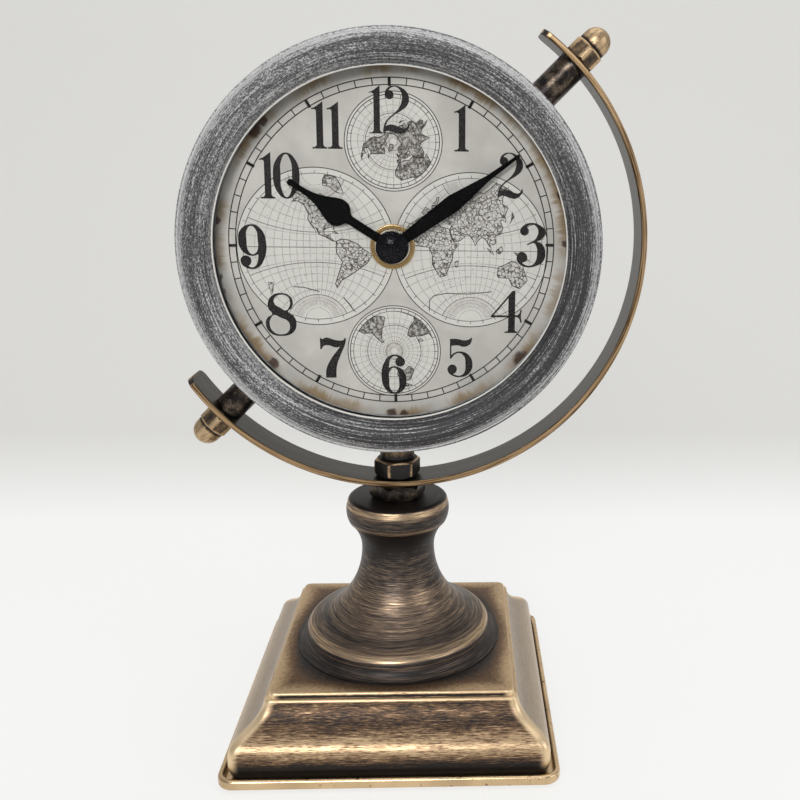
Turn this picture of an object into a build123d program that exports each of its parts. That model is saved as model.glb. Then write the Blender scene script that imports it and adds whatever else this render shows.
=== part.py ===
import os
from math import cos, radians, sin, sqrt, tan

from build123d import *

os.makedirs("parts", exist_ok=True)

# Driving dimensions, in millimetres and degrees.
# The origin is on the table under the stem; +Z is up and the dial looks along -Y.

# Fits
seat_gap = 0.05  # between a piece and the round seat that holds it
running_gap = 0.05  # radial, a pin in its hole
play = 0.3  # along the pivot line, each side of the arm

# Base, from the table up
felt_thick = 1.0
felt_margin = 5.0
tray_width = 120.0
tray_corner = 6.0
tray_sheet = 1.2
rim_width = 2.2
rim_height = 3.7
rim_round = 1.0
cup_radius = 19.0
cup_depth = 11.0
shell_gap = 1.2
shell_wall = 1.4
shell_foot_inset = 1.6
shell_curl_start = 1.0
shell_curl_rise = 3.6
shell_upright = 2.0
shoulder_run = 4.1
flank_angle = 40.0
flank_run = 11.2
cove_rise = 9.0
ledge_round = 0.8
hip_round = 3.0
plateau_inset = 1.4
plateau_rise = 2.0
plateau_corner = 2.0
plateau_round = 0.9

# Stem: its height stands on the plateau, and the drops hang from the top of the collar
stem_height = 58.3
stem_wall = 1.6
flange_edge = 0.4
foot_cove = 4.0
skirt_radius = 36.0
skirt_edge_angle = 22.0
skirt_round = 4.0
waist_radius = 14.05
waist_drop = 20.7
collar_radius = 19.9
collar_top_inset = 2.5
collar_shoulder_inset = 0.6
collar_shoulder_drop = 1.7
collar_mid_drop = 5.2
collar_foot_inset = 1.1
collar_foot_drop = 9.7

# Arm and its fastening
pivot_reach = 19.6  # from the case to the inside of the arm
arm_thick = 2.2
arm_width = 16.0
arm_start_angle = 213.5
arm_end_angle = 415.1
arm_corner = 3.5
pivot_angle = 45.0
rod_radius = 4.0
rod_lift = 1.0
rod_chamfer = 0.6
rod_engagement = 9.0
washer_radius = 8.0
washer_thick = 1.5
base_nut_flats = 13.0
base_nut_height = 6.5
jam_nut_flats = 19.0
jam_nut_height = 5.9
jam_nut_chamfer = 1.2
jam_nut_turn = 15.0
arm_nut_flats = 15.5
arm_nut_hex = 6.8
arm_nut_dome = 6.6
arm_nut_straight = 0.9
arm_nut_turn = 12.0

# Pivots
pivot_screw_radius = 3.0
pivot_head_radius = 5.0
pivot_head_height = 3.5
pivot_washer_radius = 6.5
pivot_washer_thick = 1.0
pivot_engagement = 9.0
spacer_radius = 5.5
pivot_nut_flats = 11.4
pivot_nut_hex = 6.6
pivot_nut_dome = 5.3
pivot_nut_straight = 2.3

# Case; the pivot line is at Y = 0 and the dial stands in front of it
dial_forward = 14.0
paper_thick = 0.25
paper_margin = 0.6
dial_plate_thick = 1.2
drum_radius = 70.0
drum_wall = 1.2
drum_back = 17.0
dial_seat_width = 2.8
lens_rebate = 5.7
lens_thick = 1.5
lens_clearance = 0.4
gap_ring_inset = 2.0
lip_overlap = 3.5
lip_thick = 0.7
bezel_rise = 4.5
bezel_overhang = 3.3
bezel_skirt_wall = 1.85
bezel_depth = 8.8
flange_width = 7.0
cover_recess = 2.8
cover_thick = 1.5
window_margin = 1.5
window_corner = 4.0
cover_screw_radius = 1.4
cover_screw_head = 2.5
cover_screw_head_height = 1.6
cover_screw_length = 5.0
cover_screw_count = 4

# Movement, sized round its cell
movement_corner = 3.0
movement_wall = 1.4
movement_lid = 1.2
gasket_thick = 0.8
gasket_radius = 9.0
battery_radius = 7.2
battery_length = 49.5
battery_nub = 1.0
battery_nub_radius = 2.7
battery_chamfer = 0.5
battery_gap = 0.15
battery_margin = 0.6
contact_thick = 0.5
contact_width = 9.0
contact_play = 0.7
bay_wall = 1.2
bushing_radius = 4.0
bushing_proud = 1.4
pipe_radius = 2.8
pipe_wall = 0.95
arbor_clearance = 0.1
arbor_pivot_radius = 0.8
end_play = 0.2
shaft_nut_radius = 7.9
shaft_nut_thick = 1.0
shaft_nut_round = 0.4
board_width = 13.0
board_height = 15.0
board_thick = 1.0
board_left = 18.0
board_up = 15.5
coil_radius = 2.5
coil_length = 12.0
coil_cheek = 0.5
coil_cheek_thick = 1.0

# Motion works: the minute wheel stands above the centre and the setting gear above that
gear_module = 0.4
cannon_teeth = 12
minute_teeth = 36
setting_teeth = 18
pinion_teeth = 10
hour_teeth = 40
mesh_gap = 0.12
tooth_fill = 0.82
gear_width = 0.9
gear_layer_gap = 0.5
post_proud = 0.3
wheel_post_radius = 1.0
knob_shaft_radius = 1.5
knob_boss_wall = 0.8
knob_gap = 0.4
knob_radius = 4.6
knob_length = 3.2
knob_groove_radius = 0.6
knob_grooves = 16

# Hands
hour_hand_length = 43.7
hour_bar_half = 1.5
spade_radius = 5.0
spade_height = 23.9
spade_neck_half = 0.95
spade_tip_radius = 1.15
minute_hand_length = 54.5
minute_root_half = 1.6
minute_widest = 26.4
minute_widest_half = 3.1
minute_taper = 41.0
minute_taper_half = 1.0
minute_tip_half = 0.5
hand_thick = 0.5
hand_gap = 0.9
hand_hub_radius = 5.5
hour_clock_angle = 300.5
minute_clock_angle = 53.9
cap_radius = 4.75
cap_flange_overhang = 1.0
cap_flange_thick = 0.4
cap_height = 1.7

# Places worked out from the sizes above, for the base and the stem
tray_floor = felt_thick + tray_sheet
cup_ceiling = felt_thick + cup_depth
shell_width = tray_width - 2 * (rim_width + shell_gap)
shoulder_foot = tray_floor + shell_curl_rise + shell_upright
shoulder_rise = shoulder_run * tan(radians((90 + flank_angle) / 2))
ledge_width = shell_width - 2 * flank_run
ledge_height = shoulder_foot + shoulder_rise + cove_rise + ledge_round
plateau_width = ledge_width - 2 * plateau_inset
plateau_height = ledge_height + plateau_rise
collar_top_height = plateau_height + stem_height
arm_inner = drum_radius + pivot_reach
arm_radius = arm_inner + arm_thick
arm_bottom = collar_top_height + jam_nut_height
head_height = arm_bottom + arm_radius

# For the case, front to back
dial_front = -dial_forward
plate_front = dial_front + paper_thick
plate_back = plate_front + dial_plate_thick
bushing_end = dial_front - bushing_proud
hour_hand_back = bushing_end - end_play
minute_hand_back = hour_hand_back - hand_thick - hand_gap
minute_hand_front = minute_hand_back - hand_thick
lens_back = minute_hand_front - cap_height - lens_clearance
lens_front = lens_back - lens_thick
lip_front = lens_front - lip_thick
drum_inner = drum_radius - drum_wall
lens_radius = drum_radius - lens_rebate
gap_ring_radius = lens_radius - gap_ring_inset
paper_radius = gap_ring_radius - paper_margin
lip_radius = lens_radius - lip_overlap
flange_back = drum_back - cover_recess
cover_back = flange_back + cover_thick
cover_screw_ring = drum_inner - flange_width / 2

# For the movement
movement_width = battery_length + 2 * (battery_nub + contact_thick + movement_wall) + contact_play
movement_depth = movement_wall + 2 * battery_radius + battery_gap + battery_margin
movement_front = plate_back + gasket_thick
movement_back_face = movement_front + movement_depth
chamber_front = movement_front + movement_wall
lid_front = movement_back_face - movement_lid
half_chamber = movement_width / 2 - movement_wall
battery_axis_y = chamber_front + battery_gap + battery_radius
battery_axis_z = battery_radius + battery_gap + battery_margin - half_chamber
bay_top = battery_axis_z + battery_radius + battery_gap + battery_margin
hour_layer = chamber_front + end_play + gear_width
minute_layer = hour_layer + gear_layer_gap + gear_width
train_distance = gear_module * (cannon_teeth + minute_teeth) / 2 + mesh_gap
setting_distance = gear_module * (minute_teeth + setting_teeth) / 2 + mesh_gap
hour_module = 2 * (train_distance - mesh_gap) / (pinion_teeth + hour_teeth)
knob_height = train_distance + setting_distance
arbor_radius = pipe_radius - pipe_wall - arbor_clearance


def dial_plane(y, clock_angle=0):
    turn = radians(clock_angle)
    return Plane((0, y, head_height), x_dir=(cos(turn), 0, -sin(turn)), z_dir=(0, -1, 0))


def pivot_plane(angle, distance):
    direction = Vector(cos(radians(angle)), 0, sin(radians(angle)))
    return Plane(Vector(0, 0, head_height) + direction * distance, x_dir=(0, 1, 0), z_dir=direction)


def section_of(plane):
    return Plane(plane.origin, x_dir=plane.x_dir, z_dir=-plane.y_dir)


def save(piece, name):
    piece.label = name
    export_step(piece, f"parts/{name}.step")


head_section = Plane((0, 0, head_height), x_dir=(1, 0, 0), z_dir=(0, 0, 1))
head_axis = Axis((0, 0, head_height), (0, 1, 0))


def cap_nut(plane, flats, hex_height, dome_radius, dome_straight, bore_radius, bore_depth):
    height = hex_height + dome_straight + dome_radius
    corner = flats / 2 / cos(radians(30))
    chamfer_drop = (corner - flats / 2) * tan(radians(35))
    with BuildPart() as nut:
        with BuildSketch(plane):
            RegularPolygon(flats / 2, 6, major_radius=False)
        extrude(amount=hex_height)
        with BuildSketch(section_of(plane)):
            Polygon(
                (0, 0), (flats / 2, 0), (corner, chamfer_drop), (corner, hex_height - chamfer_drop),
                (flats / 2, hex_height), (0, hex_height), align=None,
            )
        revolve(axis=Axis(plane.origin, plane.z_dir), mode=Mode.INTERSECT)
        with BuildSketch(section_of(plane)):
            with BuildLine():
                Polyline((0, height), (0, hex_height), (dome_radius, hex_height))
                Line((dome_radius, hex_height), (dome_radius, height - dome_radius))
                RadiusArc((dome_radius, height - dome_radius), (0, height), -dome_radius)
            make_face()
        revolve(axis=Axis(plane.origin, plane.z_dir))
        with BuildSketch(plane):
            Circle(bore_radius)
        extrude(amount=bore_depth, mode=Mode.SUBTRACT)
    return nut.part


def gear_outline(teeth, module, tooth_angle):
    pitch_radius = module * teeth / 2
    half = radians(90 / teeth * tooth_fill)
    steps = ((-1.45, -1.2), (-0.45, 0.95), (0.45, 0.95), (1.45, -1.2))
    points = []
    for tooth in range(teeth):
        middle = radians(tooth_angle + tooth * 360 / teeth)
        for share, height in steps:
            radius = pitch_radius + module * height
            points.append((radius * cos(middle + share * half), radius * sin(middle + share * half)))
    return points


# Felt sheet over the whole underside
with BuildPart() as base_felt:
    with BuildSketch():
        felt_width = tray_width - 2 * felt_margin
        RectangleRounded(felt_width, felt_width, tray_corner)
    extrude(amount=felt_thick)
save(base_felt.part, "base_felt")

# Tray with its rolled rim, and a cup pressed up for the nut
with BuildPart() as base_tray:
    with BuildSketch(Plane.XY.offset(felt_thick)):
        RectangleRounded(tray_width, tray_width, tray_corner)
    extrude(amount=rim_height)
    with BuildSketch(Plane.XY.offset(tray_floor)):
        inner_width = tray_width - 2 * rim_width
        RectangleRounded(inner_width, inner_width, tray_corner - rim_width)
    extrude(amount=rim_height, mode=Mode.SUBTRACT)
    fillet(base_tray.edges().group_by(Axis.Z)[-1], rim_round)
    fillet(base_tray.faces().sort_by(Axis.Z)[0].outer_wire().edges(), rim_round)
    with BuildSketch(Plane.XY.offset(felt_thick)):
        Circle(cup_radius)
    extrude(amount=cup_depth + tray_sheet)
    with BuildSketch(Plane.XY.offset(felt_thick)):
        Circle(cup_radius - tray_sheet)
    extrude(amount=cup_depth, mode=Mode.SUBTRACT)
    with BuildSketch(Plane.XY.offset(cup_ceiling)):
        Circle(rod_radius + running_gap)
    extrude(amount=tray_sheet, mode=Mode.SUBTRACT)
save(base_tray.part, "base_tray")


# Points along the arc that leaves the start in the given direction and ends at the end point
def arc_points(start, end, direction, count=5):
    reach = end - start
    turn = 2 * (Vector(1, 0).get_signed_angle(reach, Vector(0, 0, 1)) - direction)
    radius = reach.length / (2 * sin(radians(turn / 2)))
    points = []
    for step in range(count + 1):
        bend = radians(turn * step / count / 2)
        heading = radians(direction) + bend
        points.append(start + Vector(cos(heading), sin(heading)) * (2 * radius * sin(bend)))
    return points, direction + turn


# The shell's ogee flank as a stack of rounded squares, inset from the outside by the wall for the cavity
def flank_block(inset):
    half = shell_width / 2
    flank_turn = 180 - flank_angle
    middle = Vector(half - shoulder_run, shoulder_foot + shoulder_rise)
    ledge = Vector(half - flank_run, ledge_height - ledge_round)
    cove_turn = arc_points(middle, ledge, flank_turn)[1]
    middle += Vector(-sin(radians(flank_turn)), cos(radians(flank_turn))) * inset
    ledge += Vector(-sin(radians(cove_turn)), cos(radians(cove_turn))) * inset
    shoulder = arc_points(Vector(half - inset, shoulder_foot), middle, 90)[0]
    cove = arc_points(middle, ledge, flank_turn)[0]
    foot = half - shell_foot_inset - inset
    curl_top = tray_floor + shell_curl_rise
    rim = cove[-1]
    stages = (
        (True, [(foot, tray_floor), (foot, tray_floor + shell_curl_start)]),
        (True, [(foot, tray_floor + shell_curl_start), (half - inset, curl_top)]),
        (True, [(half - inset, curl_top), (half - inset, shoulder_foot)]),
        (False, [(p.X, p.Y) for p in shoulder]),
        (False, [(p.X, p.Y) for p in cove]),
        (True, [(rim.X, rim.Y), (rim.X - ledge_round, rim.Y + ledge_round)]),
    )
    with BuildPart() as block:
        for ruled, points in stages:
            for width, height in points:
                with BuildSketch(Plane.XY.offset(height)):
                    RectangleRounded(2 * width, 2 * width, hip_round - inset)
            loft(ruled=ruled)
    return block.part


# Pressed ogee shell: soft hips, a ledge and a raised flat top
with BuildPart() as base_shell:
    add(flank_block(0))
    with BuildSketch(Plane.XY.offset(ledge_height - shell_wall)):
        RectangleRounded(plateau_width, plateau_width, plateau_corner)
    extrude(amount=plateau_height - ledge_height + shell_wall)
    fillet(base_shell.faces().sort_by(Axis.Z)[-1].edges(), plateau_round)
    add(flank_block(shell_wall), mode=Mode.SUBTRACT)
    with BuildSketch(Plane.XY.offset(ledge_height - 2 * shell_wall)):
        inside_width = plateau_width - 2 * shell_wall
        RectangleRounded(inside_width, inside_width, plateau_corner)
    extrude(amount=plateau_height - ledge_height + shell_wall, mode=Mode.SUBTRACT)
    with BuildSketch(Plane.XY.offset(plateau_height - 2 * shell_wall)):
        Circle(rod_radius + running_gap)
    extrude(amount=3 * shell_wall, mode=Mode.SUBTRACT)
save(base_shell.part, "base_shell")

# Spun stem: collar bead, waist, flare, skirt edge, cove and foot flange, hollow inside
with BuildPart() as stem:
    edge_turn = radians(skirt_edge_angle)
    edge_start = (
        skirt_radius - skirt_round * (1 - sin(edge_turn)),
        plateau_height + flange_edge + foot_cove + skirt_round * cos(edge_turn),
    )
    cove_top = plateau_height + flange_edge + foot_cove
    bore = rod_radius + running_gap
    flange_radius = skirt_radius + foot_cove
    waist_height = collar_top_height - waist_drop
    collar_foot_radius = collar_radius - collar_foot_inset
    collar_foot_height = collar_top_height - collar_foot_drop
    collar_mid_height = collar_top_height - collar_mid_drop
    collar_shoulder_radius = collar_radius - collar_shoulder_inset
    collar_shoulder_height = collar_top_height - collar_shoulder_drop
    collar_top_radius = collar_radius - collar_top_inset
    with BuildSketch(Plane.XZ):
        with BuildLine():
            Line((bore, collar_top_height), (collar_top_radius, collar_top_height))
            TangentArc(
                (collar_top_radius, collar_top_height), (collar_shoulder_radius, collar_shoulder_height),
                tangent=(1, 0),
            )
            ThreePointArc(
                (collar_shoulder_radius, collar_shoulder_height), (collar_radius, collar_mid_height),
                (collar_foot_radius, collar_foot_height),
            )
            TangentArc(
                (waist_radius, waist_height), (collar_foot_radius, collar_foot_height), tangent=(0, 1)
            )
            TangentArc((waist_radius, waist_height), edge_start, tangent=(0, -1))
            TangentArc(edge_start, (skirt_radius, cove_top), tangent=(cos(edge_turn), -sin(edge_turn)))
            TangentArc((skirt_radius, cove_top), (flange_radius, plateau_height + flange_edge), tangent=(0, -1))
            Line((flange_radius, plateau_height + flange_edge), (flange_radius, plateau_height))
            Line((flange_radius, plateau_height), (skirt_radius - stem_wall, plateau_height))
            Line((skirt_radius - stem_wall, plateau_height), (skirt_radius - stem_wall, cove_top))
            TangentArc(
                (waist_radius - stem_wall, waist_height), (skirt_radius - stem_wall, cove_top), tangent=(0, -1)
            )
            Line((waist_radius - stem_wall, waist_height), (waist_radius - stem_wall, collar_foot_height))
            Line((waist_radius - stem_wall, collar_foot_height), (bore, collar_foot_height))
            Line((bore, collar_foot_height), (bore, collar_top_height))
        make_face()
    revolve(axis=Axis.Z)
save(stem.part, "stem")

# Rod that ties tray, shell, stem and arm together
arm_nut_seat = head_height - sqrt(arm_inner**2 - (arm_nut_flats / 2 / cos(radians(30))) ** 2)
with BuildPart() as tie_rod:
    rod_end = felt_thick + rod_lift
    with BuildSketch(Plane.XY.offset(rod_end)):
        Circle(rod_radius)
    extrude(amount=arm_nut_seat + rod_engagement - rod_end)
    chamfer(tie_rod.edges(), rod_chamfer)
save(tie_rod.part, "tie_rod")

with BuildPart() as base_washer:
    with BuildSketch(Plane.XY.offset(cup_ceiling - washer_thick)):
        Circle(washer_radius)
        Circle(rod_radius + running_gap, mode=Mode.SUBTRACT)
    extrude(amount=washer_thick)
save(base_washer.part, "base_washer")

with BuildPart() as base_nut:
    with BuildSketch(Plane.XY.offset(cup_ceiling - washer_thick - base_nut_height)):
        RegularPolygon(base_nut_flats / 2, 6, major_radius=False)
        Circle(rod_radius + running_gap, mode=Mode.SUBTRACT)
    extrude(amount=base_nut_height)
save(base_nut.part, "base_nut")

# Nut between the collar and the arm
with BuildPart() as arm_jam_nut:
    jam_corner = jam_nut_flats / 2 / cos(radians(30))
    with BuildSketch(Plane.XY.offset(collar_top_height)):
        RegularPolygon(jam_nut_flats / 2, 6, major_radius=False, rotation=jam_nut_turn)
    extrude(amount=jam_nut_height)
    with BuildSketch(Plane.XZ):
        Polygon(
            (0, collar_top_height), (jam_corner, collar_top_height), (jam_corner, arm_bottom - jam_nut_chamfer),
            (jam_corner - 1.3 * jam_nut_chamfer, arm_bottom), (0, arm_bottom), align=None,
        )
    revolve(axis=Axis.Z, mode=Mode.INTERSECT)
    with BuildSketch(Plane.XY.offset(collar_top_height)):
        Circle(rod_radius + running_gap)
    extrude(amount=jam_nut_height, mode=Mode.SUBTRACT)
save(arm_jam_nut.part, "arm_jam_nut")

# Meridian arm: a strip bent to an open ring, with round corners at both ends
arm_sweep = arm_end_angle - arm_start_angle
with BuildPart() as meridian_arm:
    with BuildSketch(Plane((0, 0, head_height), x_dir=(1, 0, 0), z_dir=(0, -1, 0))):
        with BuildLine():
            outer = CenterArc((0, 0), arm_radius, arm_start_angle, arm_sweep)
            inner = CenterArc((0, 0), arm_inner, arm_start_angle, arm_sweep)
            Line(outer @ 0, inner @ 0)
            Line(outer @ 1, inner @ 1)
        make_face()
    extrude(amount=arm_width / 2, both=True)
    ends = [pivot_plane(a, (arm_radius + arm_inner) / 2).origin for a in (arm_start_angle, arm_end_angle)]
    corners = [
        e for e in meridian_arm.edges()
        if e.length < arm_thick * 1.5 and min((e.center() - p).length for p in ends) < arm_width
    ]
    fillet(corners, arm_corner)
    for hole_angle, hole_radius in (
        (pivot_angle, pivot_screw_radius), (pivot_angle + 180, pivot_screw_radius), (270, rod_radius)
    ):
        with BuildSketch(pivot_plane(hole_angle, arm_inner - arm_thick)):
            Circle(hole_radius + running_gap)
        extrude(amount=3 * arm_thick, mode=Mode.SUBTRACT)
save(meridian_arm.part, "meridian_arm")

arm_nut_plane = Plane.XY.offset(arm_nut_seat).rotated((0, 0, arm_nut_turn))
arm_cap_nut = cap_nut(
    arm_nut_plane, arm_nut_flats, arm_nut_hex, arm_nut_dome, arm_nut_straight,
    rod_radius + running_gap, rod_engagement + running_gap,
)
save(arm_cap_nut, "arm_cap_nut")

# Bezel: a half-round ring with a lip for the lens and a skirt over the drum
with BuildPart() as bezel:
    bezel_radius = drum_radius + bezel_overhang
    bezel_skirt_radius = drum_radius + bezel_skirt_wall
    bezel_crest = lip_front - bezel_rise
    bezel_back = lip_front + bezel_depth
    with BuildSketch(head_section):
        with BuildLine():
            crest = ((lip_radius + bezel_radius) / 2, bezel_crest)
            ThreePointArc((lip_radius, lip_front), crest, (bezel_radius, lip_front))
            Line((bezel_radius, lip_front), (bezel_skirt_radius, bezel_back))
            Line((bezel_skirt_radius, bezel_back), (drum_radius + seat_gap, bezel_back))
            Line((drum_radius + seat_gap, bezel_back), (drum_radius + seat_gap, lens_back))
            Line((drum_radius + seat_gap, lens_back), (lens_radius + seat_gap, lens_back))
            Line((lens_radius + seat_gap, lens_back), (lens_radius + seat_gap, lens_front))
            Line((lens_radius + seat_gap, lens_front), (lip_radius, lens_front))
            Line((lip_radius, lens_front), (lip_radius, lip_front))
        make_face()
    revolve(axis=head_axis)
save(bezel.part, "bezel")

with BuildPart() as glass_lens:
    with BuildSketch(dial_plane(lens_back)):
        Circle(lens_radius)
    extrude(amount=lens_thick)
save(glass_lens.part, "glass_lens")

# Dark ring that keeps the lens off the dial
with BuildPart() as dial_gap_ring:
    with BuildSketch(dial_plane(plate_front)):
        Circle(drum_inner - seat_gap)
        Circle(gap_ring_radius, mode=Mode.SUBTRACT)
    extrude(amount=plate_front - lens_back)
save(dial_gap_ring.part, "dial_gap_ring")

with BuildPart() as dial_paper:
    with BuildSketch(dial_plane(plate_front)):
        Circle(paper_radius)
        Circle(bushing_radius + seat_gap, mode=Mode.SUBTRACT)
    extrude(amount=paper_thick)
save(dial_paper.part, "dial_paper")

with BuildPart() as dial_plate:
    with BuildSketch(dial_plane(plate_back)):
        Circle(drum_inner - seat_gap)
        Circle(bushing_radius + seat_gap, mode=Mode.SUBTRACT)
    extrude(amount=dial_plate_thick)
save(dial_plate.part, "dial_plate")

# Case drum: wall, seat behind the dial, and a turned-in flange for the back cover
with BuildPart() as case_drum:
    with BuildSketch(head_section):
        flange_inner = drum_inner - flange_width
        seat_inner = drum_inner - dial_seat_width
        Polygon(
            (drum_radius, lens_back), (drum_radius, drum_back), (drum_inner, drum_back),
            (drum_inner, flange_back), (flange_inner, flange_back), (flange_inner, flange_back - drum_wall),
            (drum_inner, flange_back - drum_wall), (drum_inner, plate_back + drum_wall),
            (seat_inner, plate_back + drum_wall), (seat_inner, plate_back), (drum_inner, plate_back),
            (drum_inner, lens_back), align=None,
        )
    revolve(axis=head_axis)
    for angle in (pivot_angle, pivot_angle + 180):
        with BuildSketch(pivot_plane(angle, drum_inner - drum_wall)):
            Circle(pivot_screw_radius + running_gap)
        extrude(amount=3 * drum_wall, mode=Mode.SUBTRACT)
    with BuildSketch(dial_plane(flange_back)):
        with PolarLocations(cover_screw_ring, cover_screw_count, start_angle=pivot_angle):
            Circle(cover_screw_radius + running_gap)
    extrude(amount=drum_wall, mode=Mode.SUBTRACT)
save(case_drum.part, "case_drum")

# Back cover with the square window over the movement
with BuildPart() as back_cover:
    cover_window = movement_width + 2 * window_margin
    with BuildSketch(dial_plane(cover_back)):
        Circle(drum_inner - seat_gap)
        RectangleRounded(cover_window, cover_window, window_corner, mode=Mode.SUBTRACT)
        with PolarLocations(cover_screw_ring, cover_screw_count, start_angle=pivot_angle):
            Circle(cover_screw_radius + running_gap, mode=Mode.SUBTRACT)
    extrude(amount=cover_thick)
save(back_cover.part, "back_cover")

with BuildPart() as back_cover_screws:
    with BuildSketch(dial_plane(cover_back + cover_screw_head_height)):
        with PolarLocations(cover_screw_ring, cover_screw_count, start_angle=pivot_angle):
            Circle(cover_screw_head)
    extrude(amount=cover_screw_head_height)
    chamfer(back_cover_screws.edges().group_by(Axis.Y)[-1], cover_screw_head_height / 2)
    with BuildSketch(dial_plane(cover_back)):
        with PolarLocations(cover_screw_ring, cover_screw_count, start_angle=pivot_angle):
            Circle(cover_screw_radius)
    extrude(amount=cover_screw_length)
save(back_cover_screws.part, "back_cover_screws")

# Pivots: screw and washer inside the case, spacer, then the cap nut outside the arm
washer_face = sqrt(drum_inner**2 - pivot_washer_radius**2)
head_face = washer_face - pivot_washer_thick
spacer_end = sqrt(arm_inner**2 - spacer_radius**2) - play
pivot_nut_face = arm_radius + play
with BuildPart() as pivot_screws:
    for angle in (pivot_angle, pivot_angle + 180):
        with BuildSketch(pivot_plane(angle, head_face - pivot_head_height)):
            Circle(pivot_head_radius)
        extrude(amount=pivot_head_height)
        with BuildSketch(pivot_plane(angle, head_face)):
            Circle(pivot_screw_radius)
        extrude(amount=pivot_nut_face + pivot_engagement - head_face)
save(pivot_screws.part, "pivot_screws")

with BuildPart() as pivot_washers:
    for angle in (pivot_angle, pivot_angle + 180):
        with BuildSketch(pivot_plane(angle, head_face)):
            Circle(pivot_washer_radius)
            Circle(pivot_screw_radius + running_gap, mode=Mode.SUBTRACT)
        extrude(amount=pivot_washer_thick)
save(pivot_washers.part, "pivot_washers")

for side, angle in (("upper", pivot_angle), ("lower", pivot_angle + 180)):
    with BuildPart() as spacer:
        with BuildSketch(pivot_plane(angle, drum_inner)):
            Circle(spacer_radius)
            Circle(pivot_screw_radius + running_gap, mode=Mode.SUBTRACT)
        extrude(amount=spacer_end - drum_inner)
        with BuildSketch(dial_plane(spacer_radius * 2)):
            Circle(drum_radius + running_gap)
        extrude(amount=spacer_radius * 4, mode=Mode.SUBTRACT)
    save(spacer.part, f"{side}_pivot_spacer")
    pivot_nut = cap_nut(
        pivot_plane(angle, pivot_nut_face), pivot_nut_flats, pivot_nut_hex, pivot_nut_dome, pivot_nut_straight,
        pivot_screw_radius + running_gap, pivot_engagement + running_gap,
    )
    save(pivot_nut, f"{side}_pivot_cap_nut")

# Movement case: a box with a gear chamber above and a battery bay below, open at the back
boss_end = minute_layer - gear_width - post_proud
with BuildPart() as movement_case:
    with BuildSketch(dial_plane(lid_front)):
        RectangleRounded(movement_width, movement_width, movement_corner)
    extrude(amount=lid_front - movement_front)
    with BuildSketch(dial_plane(lid_front)):
        chamber_low = bay_top + bay_wall
        with Locations((0, (half_chamber + chamber_low) / 2)):
            Rectangle(2 * half_chamber, half_chamber - chamber_low)
        with Locations((0, (bay_top - half_chamber) / 2)):
            Rectangle(2 * half_chamber, bay_top + half_chamber)
    extrude(amount=lid_front - chamber_front, mode=Mode.SUBTRACT)
    with BuildSketch(dial_plane(minute_layer + post_proud)):
        with Locations((0, train_distance)):
            Circle(wheel_post_radius)
    extrude(amount=minute_layer + post_proud - chamber_front)
    with BuildSketch(dial_plane(boss_end)):
        with Locations((0, knob_height)):
            Circle(knob_shaft_radius + knob_boss_wall)
            Circle(wheel_post_radius + running_gap, mode=Mode.SUBTRACT)
    extrude(amount=boss_end - chamber_front)
    with BuildSketch(dial_plane(chamber_front)):
        Circle(bushing_radius + seat_gap)
    extrude(amount=movement_wall, mode=Mode.SUBTRACT)
save(movement_case.part, "movement_case")

# Lid over the gear chamber, with the bearings of the minute arbor and the setting knob
with BuildPart() as movement_back:
    lid_low = bay_top
    with BuildSketch(dial_plane(movement_back_face)):
        with Locations((0, (movement_width / 2 + lid_low) / 2)):
            Rectangle(movement_width - 2 * seat_gap, movement_width / 2 - lid_low)
        Circle(arbor_pivot_radius + running_gap, mode=Mode.SUBTRACT)
        with Locations((0, knob_height)):
            Circle(knob_shaft_radius + running_gap, mode=Mode.SUBTRACT)
    extrude(amount=movement_lid)
save(movement_back.part, "movement_back")

with BuildPart() as movement_gasket:
    with BuildSketch(dial_plane(movement_front)):
        Circle(gasket_radius)
        Circle(bushing_radius + seat_gap, mode=Mode.SUBTRACT)
    extrude(amount=gasket_thick)
save(movement_gasket.part, "movement_gasket")

with BuildPart() as shaft_bushing:
    with BuildSketch(dial_plane(chamber_front)):
        Circle(bushing_radius)
        Circle(pipe_radius + running_gap, mode=Mode.SUBTRACT)
    extrude(amount=chamber_front - bushing_end)
save(shaft_bushing.part, "shaft_bushing")

# Round brass nut on the front of the dial
with BuildPart() as shaft_nut:
    with BuildSketch(dial_plane(dial_front)):
        Circle(shaft_nut_radius)
        Circle(bushing_radius + seat_gap, mode=Mode.SUBTRACT)
    extrude(amount=shaft_nut_thick)
    fillet(shaft_nut.edges().group_by(Axis.Y)[0], shaft_nut_round)
save(shaft_nut.part, "shaft_nut")

# Cell, lying across the bay, and the two contacts at its ends
battery_start = -half_chamber + contact_thick + battery_nub
battery_height = head_height + battery_axis_z


def bay_plane(x):
    return Plane((x, battery_axis_y, battery_height), x_dir=(0, 1, 0), z_dir=(1, 0, 0))


with BuildPart() as battery:
    with BuildSketch(bay_plane(battery_start)):
        Circle(battery_radius)
    extrude(amount=battery_length)
    chamfer(battery.edges(), battery_chamfer)
    with BuildSketch(bay_plane(battery_start + battery_length)):
        Circle(battery_nub_radius)
    extrude(amount=battery_nub)
save(battery.part, "battery")

with BuildPart() as battery_contacts:
    contact_gap = half_chamber - contact_thick - (battery_start + battery_length + battery_nub)
    for start, reach in ((-half_chamber, battery_nub), (half_chamber, -contact_gap)):
        step = contact_thick if start < 0 else -contact_thick
        with BuildSketch(bay_plane(start)):
            Rectangle(contact_width, contact_width)
        extrude(amount=step)
        with BuildSketch(bay_plane(start + step)):
            Circle(battery_nub_radius)
        extrude(amount=reach)
save(battery_contacts.part, "battery_contacts")

with BuildPart() as circuit_board:
    with BuildSketch(dial_plane(chamber_front + board_thick)):
        with Locations((-board_left, board_up)):
            Rectangle(board_width, board_height)
    extrude(amount=board_thick)
save(circuit_board.part, "circuit_board")

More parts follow.
